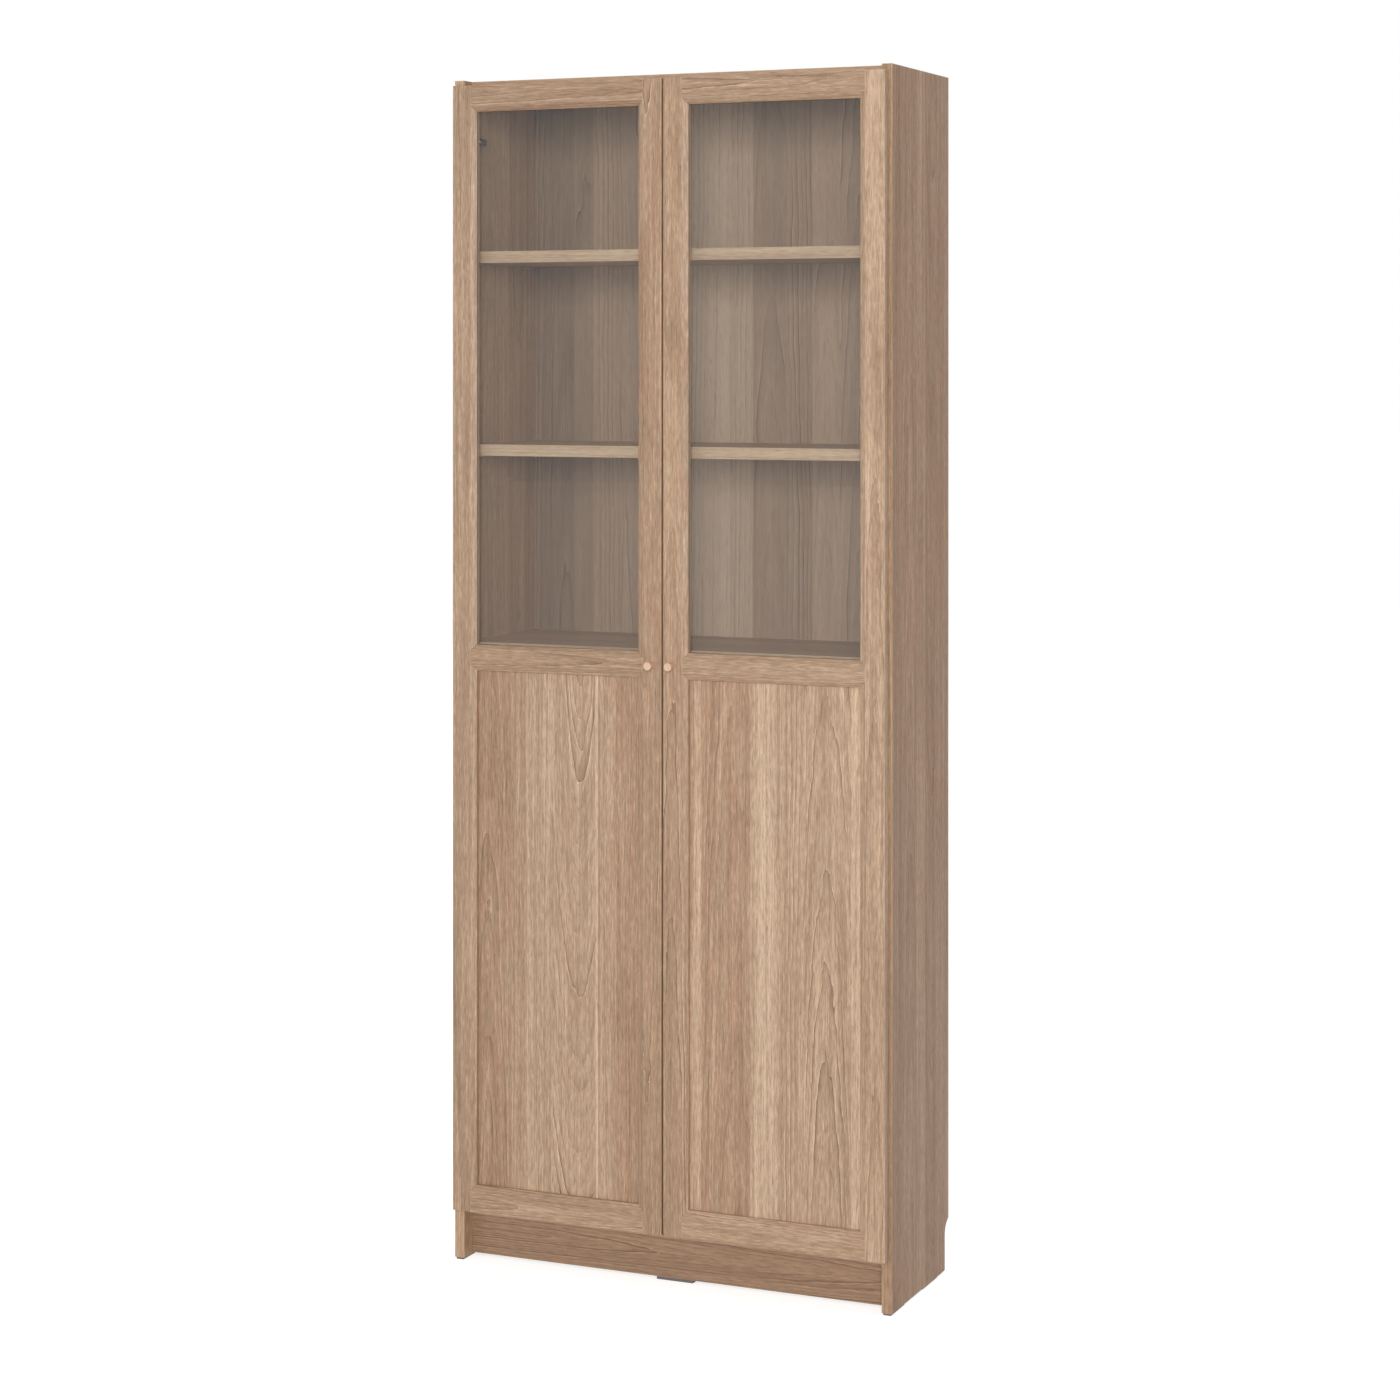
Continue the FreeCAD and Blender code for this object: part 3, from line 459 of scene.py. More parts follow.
@dataclass(frozen=True)
class EdgeWear:
    """The mask of a painted highlight along a board's edges, worked out from its box and broken up by
    noise.
    """

    worn: Noise = Noise((60.0, 60.0, 60.0), 3.0)
    worn_span: tuple[float, ...] = (0.2, 0.6, 0.55, 1.0)

    def build(self) -> bpy.types.NodeTree:
        """Build the group, whose mask is 1 on an edge of the box and fades over the width.

        Returns:
            The group.
        """
        group = Group("edge_wear", {"Vector": ("Vector", "Low", "High"), "Float": ("Width",)},
                      {"Float": ("Mask",)})
        here, low, high = (group.split(group.take[label]) for label in ("Vector", "Low", "High"))
        first, second, third = (
            (here[axis] - low[axis]).math("MINIMUM", high[axis] - here[axis]) for axis in range(3))
        smaller = first.math("MINIMUM", second)
        larger = first.math("MAXIMUM", second)
        edge = smaller.math("MAXIMUM", larger.math("MINIMUM", third))
        # Painted highlight: 1 on the box's edges, fading over the width, broken up by noise.
        worn = group.noise(group.take["Vector"], self.worn).span(*self.worn_span)
        return group.close(Mask=(1.0 - edge / group.take["Width"]).span(0.0, 1.0) * worn)


@dataclass(frozen=True)
class FineWear:
    """The fine unevenness of metal, plastic, paper and glass: a slow mottle and a fine speckle."""

    mottle: Noise = Noise((90.0, 90.0, 90.0), 3.0)
    speckle_layers: float = 2.0

    def build(self) -> bpy.types.NodeTree:
        """Build the group.

        Returns:
            The group.
        """
        group = Group("fine_wear", {"Vector": ("Vector",), "Float": ("Grain Size",)},
                      {"Float": ("Mottle", "Speckle")})
        place = group.take["Vector"]
        scale = group.join("ShaderNodeMath", 1.0, group.take["Grain Size"], operation="DIVIDE")
        fine = group.add("ShaderNodeTexNoise")
        group.fill(fine, Vector=place, Scale=scale, Detail=self.speckle_layers)
        return group.close(Mottle=group.noise(place, self.mottle), Speckle=group.out(fine, 0))


OAK_GRAIN = OakFigure().build()
OAK_COLOUR = OakColouring().build()
EDGE_HIGHLIGHT = EdgeWear().build()
FINE_WEAR = FineWear().build()


class Material(Graph):
    """A new material with its Principled shader and the nodes that feed it."""

    def __init__(self, name: str) -> None:
        """Make the material and find its shader.

        Args:
            name: Name of the material.
        """
        self.data = bpy.data.materials.new(name)
        self.data.use_nodes = True
        super().__init__(self.data.node_tree)
        self.shader = self.tree.nodes["Principled BSDF"]
        self.leave = self.tree.nodes["Material Output"]
        self.place = self.out(self.add("ShaderNodeTexCoord"), "Object")

    def shade(self, **inputs: Source) -> None:
        """Feed the shader's inputs by name, with an underscore for each blank."""
        self.fill(self.shader, **inputs)

    def group(self, tree: bpy.types.NodeTree, **inputs: Source) -> dict[str, Value]:
        """Place a shared group in the material.

        Args:
            tree: The group.
            **inputs: What goes into its inputs.

        Returns:
            Its outputs by name.
        """
        node = self.add("ShaderNodeGroup", node_tree=tree)
        self.fill(node, **inputs)
        return {socket.name: Value(self, socket) for socket in node.outputs}

    def bump(self, height: Value, share: float, relief: float) -> None:
        """Give the surface a relief.

        Args:
            height: The height over the surface.
            share: Share of the relief that is used.
            relief: Height of the relief in metres.
        """
        node = self.add("ShaderNodeBump")
        self.fill(node, Strength=share, Distance=relief, Height=height)
        self.shade(Normal=self.out(node, 0))


@dataclass(frozen=True)
class Strip:
    """One strip of wood in a board: how wide, light, pink and figured it is.

    Its rings centre at heart, millimetres from the middle of the strip, and close by taper
    millimetres for each metre along the grain from rise, a height in metres.
    """

    width: float
    tone: float = 0.5
    blush: float = 0.2
    figure: float = 0.3
    heart: float = 0.0
    taper: float = 12.0
    rise: float = 1.0


@dataclass(frozen=True)
class Rings:
    """How deep under the face the rings of a board centre, and how far apart they are, in metres.

    The year numbers the first ring, and with it picks which rings are strong.
    """

    depth: float = 60.0 * MM
    gap: float = 4.5 * MM
    year: float = 0.0


@dataclass(frozen=True)
class OakPalette:
    """The colours of one oak finish."""

    dark: Colour
    middle: Colour
    light: Colour
    blush: Colour
    pore: Colour
    # Lighter colour of the painted highlight along the edges.
    edge: Colour


DOOR_OAK = OakPalette(srgb(118, 92, 71), srgb(176, 147, 121), srgb(230, 202, 172),
                      (1.0, 0.93, 0.90), srgb(116, 88, 66), srgb(218, 189, 158))
CASE_OAK = OakPalette(srgb(126, 99, 78), srgb(176, 144, 117), srgb(222, 191, 160),
                      (1.0, 0.92, 0.89), srgb(120, 92, 71), srgb(212, 180, 142))
# The back's oak is darker than the case's, most of all in its dark colour: painted shade of the inside of
# the case.
BACK_OAK_IN_SHADE = OakPalette(srgb(84, 66, 52), srgb(166, 139, 117), srgb(206, 181, 156),
                      (1.0, 0.92, 0.89), srgb(126, 98, 76), srgb(190, 166, 142))
KNOB_BIRCH = OakPalette(srgb(196, 156, 128), srgb(226, 189, 160), srgb(242, 212, 186),
                        (1.0, 0.96, 0.95), srgb(176, 136, 108), srgb(246, 218, 190))
DOWEL_BEECH = OakPalette(srgb(176, 136, 100), srgb(206, 168, 128), srgb(228, 194, 156),
                         (1.0, 0.95, 0.92), srgb(150, 112, 82), srgb(226, 194, 160))


@dataclass(frozen=True)
class OakFinish:
    """Oak on one board: its grain, the strips it is joined from, and its heart.

    The reach, the steepest taper and the tallest rise are the widest range of a strip's values.
    """

    name: str
    grain: Grain
    palette: OakPalette
    strips: tuple[Strip, ...] = (Strip(1.0),)
    rings: Rings = Rings()
    seed: float = 0.0
    contrast: float = 1.0
    # Width of the painted highlight along the edges.
    edge_width: float = 1.4 * MM
    joint_blur: float = 0.9 * MM
    fade_blurs: float = 3.0
    strip_blurs: float = 8.0
    reach: float = 0.5
    steepest: float = 0.24
    tallest: float = 3.0
    gloss: float = 0.35
    relief: float = 0.15 * MM
    relief_share: float = 0.25

    def material(self, low: Vector, high: Vector) -> Material:
        """Make the material for a board.

        Args:
            low: Lowest corner of the board's box.
            high: Highest corner of the board's box.

        Returns:
            The material.
        """
        made = Material(self.name)
        place = made.split(made.place)
        across, into, _ = self.grain.value
        share = place[across].span(low[across], high[across], smooth=False)
        looks, forms = self._marks(high[across] - low[across])
        tone, blush, figure = self._lay(made, share, looks)
        ranges = (self.reach, self.steepest, self.tallest)
        offset, taper, rise = (
            (part - 0.5) * widest for part, widest in zip(self._lay(made, share, forms), ranges))
        turned = made.join("ShaderNodeCombineXYZ", *(place[axis] for axis in self.grain.value))
        grain = made.group(OAK_GRAIN, Vector=turned, Into=place[into] - low[into], Strip=tone,
                           Figure=figure, Offset=offset, Taper=taper, Rise=rise,
                           Depth=self.rings.depth, Gap=self.rings.gap,
                           Year=self.rings.year or self.seed, Contrast=self.contrast, Seed=self.seed)
        # Painted highlight along the board's edges.
        edge = made.group(EDGE_HIGHLIGHT, Vector=made.place, Low=tuple(low), High=tuple(high),
                          Width=self.edge_width)
        tint = self.palette
        colour = made.group(OAK_COLOUR, Tone=grain["Tone"], Pores=grain["Pores"], Flame=grain["Flame"],
                            Blush=blush, Edge=edge["Mask"], Dark=opaque(tint.dark),
                            Middle=opaque(tint.middle), Light=opaque(tint.light),
                            Blush_Colour=opaque(tint.blush), Pore_Colour=opaque(tint.pore),
                            Edge_Colour=opaque(tint.edge))
        made.shade(Base_Color=colour["Colour"], Roughness=colour["Roughness"],
                   Specular_IOR_Level=self.gloss)
        made.bump(grain["Height"], self.relief_share, self.relief)
        return made

    def _marks(self, board: float) -> tuple[list, list]:
        """Work out the colour stops that lay the strips side by side.

        Args:
            board: Width of the board in metres.

        Returns:
            Stops with tone, blush and figure, and stops with heart, taper and rise.
        """
        total = sum(strip.width for strip in self.strips)
        blur = self.joint_blur / board if len(self.strips) > 1 else 0.0
        looks, forms = [], []
        start = 0.0
        for strip in self.strips:
            end = start + strip.width / total
            middle = 0.5 * (start + end)
            fade = self.fade_blurs * blur if end - start > self.strip_blurs * blur else 0.0
            for place, inner in ((start + blur, start + blur + fade), (end - blur, end - blur - fade)):
                offset = (place - middle) * board - strip.heart * MM
                plain = (place, (strip.tone, strip.blush, 0.0 if fade else strip.figure, 1.0))
                figured = (inner, (strip.tone, strip.blush, strip.figure, 1.0))
                looks += sorted((plain, figured)) if fade else [plain]
                forms.append((place, (0.5 + offset / self.reach, 0.5 + strip.taper * MM / self.steepest,
                                      0.5 + strip.rise / self.tallest, 1.0)))
            start = end
        return looks, forms

    @staticmethod
    def _lay(made: Material, share: Value, marks: list) -> list[Value]:
        """Lay colour stops across the board.

        Args:
            made: The material.
            share: Place across the board, from 0 to 1.
            marks: Position and colour of each stop.

        Returns:
            The three values that the stops hold.
        """
        ramp = made.add("ShaderNodeValToRGB")
        made.feed(ramp.inputs[0], share)
        stops = ramp.color_ramp.elements
        stops[0].position, stops[0].color = marks[0]
        stops[1].position, stops[1].color = marks[-1]
        for position, value in marks[1:-1]:
            stop = stops.new(position)
            stop.color = value
        return made.split(made.out(ramp, 0), "ShaderNodeSeparateColor")


@dataclass(frozen=True)
class BackBoardFinish(OakFinish):
    """Thin fibreboard with oak print on its front and bare brown fibre behind.

    The print ends between two depths under the front, and the fibre has dark clouds and pale specks.
    """

    fibre: Colour = srgb(166, 128, 94)
    cloud_level: float = 0.72
    speck_level: float = 1.35
    print_start: float = 0.6 * MM
    print_end: float = 0.9 * MM
    grain_size: float = 1.6 * MM
    cloud: Noise = Noise((16.0, 16.0, 11.0), 4.0, 0.6)
    cloud_span: tuple[float, ...] = (0.3, 0.7)
    speck_span: tuple[float, ...] = (0.52, 0.70, 0.0, 0.5)

    def material(self, low: Vector, high: Vector) -> Material:
        """Make the material for a leaf of the back.

        Args:
            low: Lowest corner of the leaf's box.
            high: Highest corner of the leaf's box.

        Returns:
            The material.
        """
        made = super().material(low, high)
        printed = Value(made, made.shader.inputs["Base Color"].links[0].from_socket)
        inward = made.split(made.place)[1]
        rear = inward.span(low[1] + self.print_start, low[1] + self.print_end, smooth=False)
        wear = made.group(FINE_WEAR, Vector=made.place, Grain_Size=self.grain_size)
        cloud = made.noise(made.place, self.cloud).span(*self.cloud_span)
        bare = made.blend((wear["Mottle"] + cloud) * 0.5, opaque(self.fibre, self.cloud_level),
                          opaque(self.fibre))
        bare = made.blend(wear["Speckle"].span(*self.speck_span), bare,
                          opaque(self.fibre, self.speck_level))
        made.shade(Base_Color=made.blend(rear, printed, bare))
        return made


@dataclass(frozen=True)
class PlasticFinish:
    """Moulded plastic or paper with a slow mottle and a fine matt grain."""

    name: str
    colour: Colour
    roughness: float
    grain_size: float
    relief: float
    mottle: tuple[float, float] = (0.84, 1.16)
    spread: float = 0.08
    speckle_ends: tuple[float, float] = (0.25, 0.75)
    relief_share: float = 0.35
    metallic: float = 0.0
    gloss: float = 0.4

    def material(self) -> Material:
        """Make the material.

        Returns:
            The material.
        """
        made = Material(self.name)
        wear = made.group(FINE_WEAR, Vector=made.place, Grain_Size=self.grain_size)
        deep, pale = (opaque(self.colour, level) for level in self.mottle)
        rough = wear["Speckle"].span(*self.speckle_ends, self.roughness - self.spread,
                                     self.roughness + self.spread)
        made.shade(Base_Color=made.blend(wear["Mottle"], deep, pale), Roughness=rough,
                   Metallic=self.metallic, Specular_IOR_Level=self.gloss)
        made.bump(wear["Speckle"], self.relief_share, self.relief)
        return made


@dataclass(frozen=True)
class MetalFinish(PlasticFinish):
    """Plated or cast metal."""

    mottle: tuple[float, float] = (0.85, 1.0)
    relief_share: float = 0.3
    metallic: float = 1.0
    gloss: float = 0.5


@dataclass(frozen=True)
class GlassFinish:
    """Clear float glass, faintly uneven in tint, that lets lamp light through to the shelves."""

    name: str
    tint: Colour
    clear_tint: Colour
    shade_tint: Colour
    grain_size: float = 4.0 * MM
    refraction: float = 1.45

    def material(self) -> Material:
        """Make the material.

        Returns:
            The material.
        """
        made = Material(self.name)
        wear = made.group(FINE_WEAR, Vector=made.place, Grain_Size=self.grain_size)
        made.shade(Base_Color=made.blend(wear["Mottle"], opaque(self.tint), opaque(self.clear_tint)),
                   Roughness=0.0, Transmission_Weight=1.0, IOR=self.refraction)
        path = made.add("ShaderNodeLightPath")
        lit = made.out(path, "Is Shadow Ray").math("MAXIMUM", made.out(path, "Is Diffuse Ray"))
        through = made.join("ShaderNodeBsdfTransparent", opaque(self.shade_tint))
        clear = made.join("ShaderNodeMixShader", lit, made.out(made.shader, 0), through)
        made.fill(made.leave, Surface=clear)
        return made


STEEL = MetalFinish("nickel_steel", srgb(196, 192, 186), 0.30, 1.2 * MM, 0.005 * MM)
# A darker, browner copy of the nickel steel for the hinge plates and arms: painted shade inside the case.
SHADED_STEEL = MetalFinish("dark_steel", srgb(128, 116, 108), 0.34, 1.2 * MM, 0.005 * MM)
ZINC = MetalFinish("cast_zinc", srgb(168, 168, 170), 0.46, 0.9 * MM, 0.05 * MM, spread=0.10)
GREY_PLASTIC = PlasticFinish("grey_plastic", srgb(112, 105, 105), 0.55, 0.7 * MM, 0.05 * MM)
STRIP_PLASTIC = PlasticFinish("strip_plastic", srgb(196, 190, 182), 0.38, 1.2 * MM, 0.02 * MM,
                              mottle=(0.94, 1.06))
PAPER_TAPE = PlasticFinish("paper_tape", srgb(188, 158, 122), 0.75, 0.9 * MM, 0.06 * MM,
                           mottle=(0.90, 1.10))
GLASS = GlassFinish("float_glass", (0.96, 0.98, 0.975), (0.98, 0.99, 0.985), (0.90, 0.92, 0.91))


def place_object(name: str, data: bpy.types.ID) -> bpy.types.Object:
    """Put a new object into the scene.

    Args:
        name: Its name.
        data: Its mesh, lamp or camera.

    Returns:
        The object.
    """
    piece = bpy.data.objects.new(name, data)
    bpy.context.scene.collection.objects.link(piece)
    return piece


def dress(name: str, material: Material) -> None:
    """Give a node of the frame its material.

    Args:
        name: The node.
        material: Its material.
    """
    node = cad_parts[name]
    if not node.material_slots:
        node.data.materials.append(material.data)
    for slot in node.material_slots:
        slot.material = material.data
    LOG.info("dressed %s with %s", name, material.data.name)


def ease_edges(name: str, width: float) -> None:
    """Round the sharp edges of a node a little, so that they catch the light.

    Args:
        name: The node.
        width: Width of the rounding in metres.
    """
    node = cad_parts[name]
    weld = node.modifiers.new("joined_faces", "WELD")
    weld.merge_threshold = SAME_POINT
    bevel = node.modifiers.new("eased_edges", "BEVEL")
    bevel.width = width
    bevel.segments = 2
    bevel.limit_method = "ANGLE"
    bevel.angle_limit = SHARP_ANGLE
    bevel.harden_normals = False


def dress_board(name: str, finish: OakFinish, ease: float = 0.0) -> None:
    """Dress a wooden node, and ease its edges where a width is given.

    Args:
        name: The node.
        finish: Its finish.
        ease: Width of the rounding at its edges in metres.
    """
    low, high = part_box(name)
    dress(name, finish.material(low, high))
    if ease > 0.0:
        ease_edges(name, ease)


def loose_parts(name: str) -> list[list[Vector]]:
    """Split a node's mesh into its separate solids.

    Args:
        name: The node.

    Returns:
        The corners of each solid.
    """
    shape = bmesh.new()
    shape.from_mesh(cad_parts[name].data)
    bmesh.ops.remove_doubles(shape, verts=shape.verts, dist=SAME_POINT)
    shape.verts.index_update()
    seen = [False] * len(shape.verts)
    parts = []
    for first in shape.verts:
        queue = [] if seen[first.index] else [first]
        seen[first.index] = True
        part = []
        while queue:
            corner = queue.pop()
            part.append(corner.co.copy())
            for edge in corner.link_edges:
                other = edge.other_vert(corner)
                if not seen[other.index]:
                    seen[other.index] = True
                    queue.append(other)
        if part:
            parts.append(part)
    shape.free()
    return parts


def corner_box(corners: list[Vector]) -> tuple[Vector, Vector]:
    """Find the lowest and highest corner of the box round some corners."""
    return (Vector(min(corner[axis] for corner in corners) for axis in range(3)),
            Vector(max(corner[axis] for corner in corners) for axis in range(3)))


def arc(start: float, end: float, steps: int) -> list[tuple[float, float]]:
    """List points on an arc of radius 1.

    Args:
        start: Angle of the first point.
        end: Angle of the last point.
        steps: Number of steps between them.

    Returns:
        The cosine and sine of each point.
    """
    angles = [start + (end - start) * step / steps for step in range(steps + 1)]
    return [(math.cos(angle), math.sin(angle)) for angle in angles]


@dataclass(frozen=True)
class Ring:
    """One ring of a turned shape: its radius, its place along the line, and whether it is a cross."""

    radius: float
    out: float
    cross: bool = False
    arm_angle: float = math.radians(15.0)

    def reach(self, angle: float) -> float:
        """Find the radius at an angle, which for a cross follows its four arms.

        Args:
            angle: Angle about the line.

        Returns:
            The distance from the line.
        """
        if not self.cross:
            return self.radius
        near, far = sorted((abs(math.cos(angle)), abs(math.sin(angle))))
        return self.radius * min(1.0 / far, math.tan(self.arm_angle) / max(near, SAME_POINT))


class Turned:
    """Round shapes turned about straight lines, all in one piece."""

    def __init__(self, name: str, body: str, slot: str, turns: int = 48) -> None:
        """Start the piece.

        Args:
            name: Name of the piece.
            body: Body that it rides on.
            slot: Name meant for its material slot; not used.
            turns: Corners round each ring.
        """
        self.name = name
        self.body = body
        self.slot = slot
        self.turns = turns
        self.shape = bmesh.new()

    def add(self, seat: Vector, axis: Vector, rings: list[Ring], side: Vector | None = None,
            notch: tuple[float, float] = (-1.0, 0.0), ceiling: float = math.inf) -> None:
        """Turn one shape.

        Args:
            seat: Where its line starts.
            axis: Unit vector along the line.
            rings: Its rings, from one tip to the other.
            side: Unit vector from which angles about the line are counted.
            notch: Half angle of a notch at that side, and how far along the line its floor lies.
            ceiling: Height above which the shape is flat.
        """
        side = side or axis.orthogonal().normalized()
        other = axis.cross(side)
        loops = []
        for ring in rings:
            loop = []
            for step in range(self.turns if ring.radius > 0.0 else 1):
                angle = math.tau * step / self.turns
                cut = min(angle, math.tau - angle) <= notch[0] and ring.radius > 0.0
                spoke = math.cos(angle) * side + math.sin(angle) * other
                corner = seat + axis * (min(ring.out, notch[1]) if cut else ring.out)
                corner += spoke * ring.reach(angle)
                corner.z = min(corner.z, ceiling)
                loop.append(self.shape.verts.new(corner))
            loops.append(loop)
        self._skin(loops)

    def add_plate(self, outline: list[Vector], rise: Vector, ease: float) -> None:
        """Raise an outline to a flat piece with an eased upper edge.

        Args:
            outline: Corners of its foot.
            rise: How far and which way it is raised.
            ease: Width of the eased edge.
        """
        middle = sum(outline, Vector()) / len(outline)
        loops = []
        for lift, inset in ((0.0, 0.0), (1.0 - ease / rise.length, 0.0), (1.0, ease)):
            loop = []
            for corner in outline:
                inward = (middle - corner).normalized()
                loop.append(self.shape.verts.new(corner + inward * inset + rise * lift))
            loops.append(loop)
        self._skin(loops)
        self.shape.faces.new(loops[0])
        self.shape.faces.new(loops[-1])

    def _skin(self, loops: list[list[bmesh.types.BMVert]]) -> None:
        """Fill the bands between neighbouring rings.

        Args:
            loops: Corners of each ring, or the single corner of a tip.
        """
        for first, second in zip(loops, loops[1:]):
            count = max(len(first), len(second))
            for step in range(count):
                after = (step + 1) % count
                if len(first) == 1:
                    band = (first[0], second[step], second[after])
                elif len(second) == 1:
                    band = (first[step], second[0], first[after])
                else:
                    band = (first[step], second[step], second[after], first[after])
                self.shape.faces.new(band)

    def finish(self, material: Material, node: str) -> None:
        """Seat the piece on its body in place of a node.

        Args:
            material: The piece's material.
            node: Node that it stands for.
        """
        bmesh.ops.dissolve_degenerate(self.shape, dist=SHORTEST_EDGE, edges=self.shape.edges)
        bmesh.ops.recalc_face_normals(self.shape, faces=self.shape.faces)
        mesh = bpy.data.meshes.new(self.name)
        self.shape.to_mesh(mesh)
        self.shape.free()
        mesh.shade_smooth()
        mesh.set_sharp_from_angle(angle=SHARP_ANGLE)
        mesh.materials.append(material.data)
        piece = place_object(self.name, mesh)
        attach(piece, self.body)
        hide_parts(node)
        LOG.info("built %s on %s", self.name, self.body)


@dataclass(frozen=True)
class Fasteners:
    """Round screws or nails in place of the flat-sided ones of a node.

    The sizes of the point and thread are shares of the shank's radius, those of the head and its driver
    cross are shares of the head's radius and thickness.
    """

    node: str
    body: str
    cross: bool = True
    pitch: float = 1.3 * MM
    head_share: float = 0.9
    point_radius: float = 0.5
    point_length: float = 1.2
    thread_start: float = 2.0
    thread_end: float = 0.5
    thread_root: float = 0.8
    rim_height: float = 0.3
    dome_width: float = 0.25
    dome_steps: int = 4
    cross_reach: float = 0.6
    cross_foot: float = 0.48
    cross_floor: float = 0.3
    cross_pit: float = 0.2

    def build(self, material: Material) -> None:
        """Turn each solid of the node anew.

        Args:
            material: Their metal.
        """
        made = Turned(f"{self.node}_turned", self.body, "steel")
        for corners in loose_parts(self.node):
            self._turn(made, corners)
        made.finish(material, self.node)

    def _turn(self, made: Turned, corners: list[Vector]) -> None:
        """Measure one flat-sided screw or nail and turn a round one in its place.

        Args:
            made: The piece that it goes into.
            corners: Corners of the flat-sided one.
        """
        low, high = corner_box(corners)
        along = max(range(3), key=lambda axis: high[axis] - low[axis])
        seat = 0.5 * (low + high)
        flat = [Vector(corner) for corner in corners]
        for corner in flat:
            corner[along] = seat[along]
        spread = [(corner - seat).length for corner in flat]
        head = max(spread)
        inner = self.head_share * head
        ends = [corner[along] for corner, reach in zip(corners, spread) if reach > inner]
        shank = max(reach for reach in spread if reach <= inner)
        thick = max(ends) - min(ends)
        outward = 1.0 if high[along] - max(ends) < min(ends) - low[along] else -1.0
        axis = Vector((0.0, 0.0, 0.0))
        axis[along] = outward
        seat[along] = min(ends) if outward > 0.0 else max(ends)
        made.add(seat, axis, self._rings(shank, head, high[along] - low[along] - thick, thick))

    def _rings(self, shank: float, head: float, length: float, thick: float) -> list[Ring]:
        """Lay out the rings of one screw or nail, from its point to its head.

        Args:
            shank: Radius of the shank.
            head: Radius of the head.
            length: Length of the shank.
            thick: Thickness of the head.

        Returns:
            The rings.
        """
        rings = [Ring(0.0, -length), Ring(self.point_radius * shank, self.point_length * shank - length)]
        if self.cross:
            start = self.thread_start * shank - length
            for ridge in range(int((-start - self.pitch) / self.pitch)):
                rings.append(Ring(self.thread_root * shank, start + ridge * self.pitch))
                rings.append(Ring(shank, start + (ridge + 0.5) * self.pitch))
        rings += [Ring(shank, -self.thread_end * shank), Ring(shank, 0.0), Ring(head, 0.0)]
        for out, up in arc(0.0, 0.5 * math.pi, self.dome_steps):
            rings.append(Ring(head * (1.0 - self.dome_width + self.dome_width * out),
                              thick * (self.rim_height + (1.0 - self.rim_height) * up)))
        if not self.cross:
            return [*rings, Ring(0.0, thick)]
        return [*rings, Ring(self.cross_reach * head, thick, True),
                Ring(self.cross_foot * head, self.cross_floor * thick, True),
                Ring(0.0, self.cross_pit * thick)]


@dataclass(frozen=True)
class HingeCups:
    """The round cups of one door's hinges, each with two screw tabs and two ears for its pin."""

    side: Side
    bore: float = 12.6 * MM
    flange: float = 13.5 * MM
    inside: float = 11.8 * MM
    deep: float = 11.5 * MM
    wall: float = 1.0 * MM
    lip: float = 0.3 * MM
    round_off: float = 1.2 * MM
    corner_share: float = 0.3
    turns: int = 96
    tab_width: float = 13.0 * MM
    tab_end: float = 23.5 * MM
    tab_ease: float = 0.25 * MM
    tab_steps: tuple[int, int] = (8, 16)
    ear_start: float = 6.45 * MM
    ear_gap: float = 3.3 * MM
    ear_top: float = 5.4 * MM
    ear_ease: float = 0.4 * MM
    ear_steps: int = 6
    notch_angle: float = math.radians(15.5)

    def build(self, material: Material) -> None:
        """Make each cup where the plain one is.

        Args:
            material: Their metal.
        """
        node = f"{self.side.word}_hinge_cups"
        made = Turned(f"{node}_turned", self.side.door, "steel", self.turns)
        for corners in loose_parts(node):
            low, high = corner_box(corners)
            mouth = 0.5 * (low + high)
            mouth.y = high.y - self.wall
            self._cup(made, mouth)
            for upward in (-1.0, 1.0):
                self._tab(made, mouth, upward)
                self._ear(made, mouth, upward)
        made.finish(material, node)

    def _cup(self, made: Turned, mouth: Vector) -> None:
        """Turn the cup and its flange, with a notch for the arm.

        Args:
            made: The piece that it goes into.
            mouth: Middle of the cup's mouth.
        """
        floor = self.wall - self.deep
        corner = self.corner_share * self.round_off
        profile = ((0.0, -self.deep), (self.bore - self.round_off, -self.deep),
                   (self.bore, self.round_off - self.deep), (self.bore, 0.0), (self.flange, 0.0),
                   (self.flange, self.wall - self.lip), (self.flange - self.lip, self.wall),
                   (self.inside + self.lip, self.wall), (self.inside, self.wall - self.lip),
                   (self.inside, floor + self.round_off), (self.inside - corner, floor + corner),
                   (self.inside - self.round_off, floor), (0.0, floor))
        made.add(mouth, Vector((0.0, 1.0, 0.0)), [Ring(*place) for place in profile],
                 Vector((float(self.side.value), 0.0, 0.0)), (self.notch_angle, -self.ear_top))

    def _tab(self, made: Turned, mouth: Vector, upward: float) -> None:
        """Raise the round-ended tab for one screw.

        Args:
            made: The piece that it goes into.
            mouth: Middle of the cup's mouth.
            upward: 1 for the upper tab, -1 for the lower.
        """
        half = 0.5 * self.tab_width
        lean = math.asin(half / self.bore)
        foot, end = self.tab_steps
        outline = [(self.bore * x, self.bore * z) for z, x in arc(lean, -lean, foot)]
        outline += [(half * x, self.tab_end - half + half * z) for x, z in arc(math.pi, 0.0, end)]
        made.add_plate([mouth + Vector((x, 0.0, upward * z)) for x, z in outline],
                       Vector((0.0, self.wall, 0.0)), self.tab_ease)

    def _ear(self, made: Turned, mouth: Vector, upward: float) -> None:
        """Raise the block that holds one end of the pivot pin.

        Args:
            made: The piece that it goes into.
            mouth: Middle of the cup's mouth.
            upward: 1 for the upper ear, -1 for the lower.
        """
        start = math.asin(self.ear_gap / self.inside)
        end = math.acos(self.ear_start / self.inside)
        outline = [(self.ear_start, self.ear_gap)]
        outline += [(self.inside * x, self.inside * z) for x, z in arc(start, end, self.ear_steps)]
        foot = mouth + Vector((0.0, self.wall - self.deep, 0.0))
        made.add_plate([foot + Vector((self.side.value * x, 0.0, upward * z)) for x, z in outline],
                       Vector((0.0, self.deep - self.wall - self.ear_top, 0.0)), self.ear_ease)


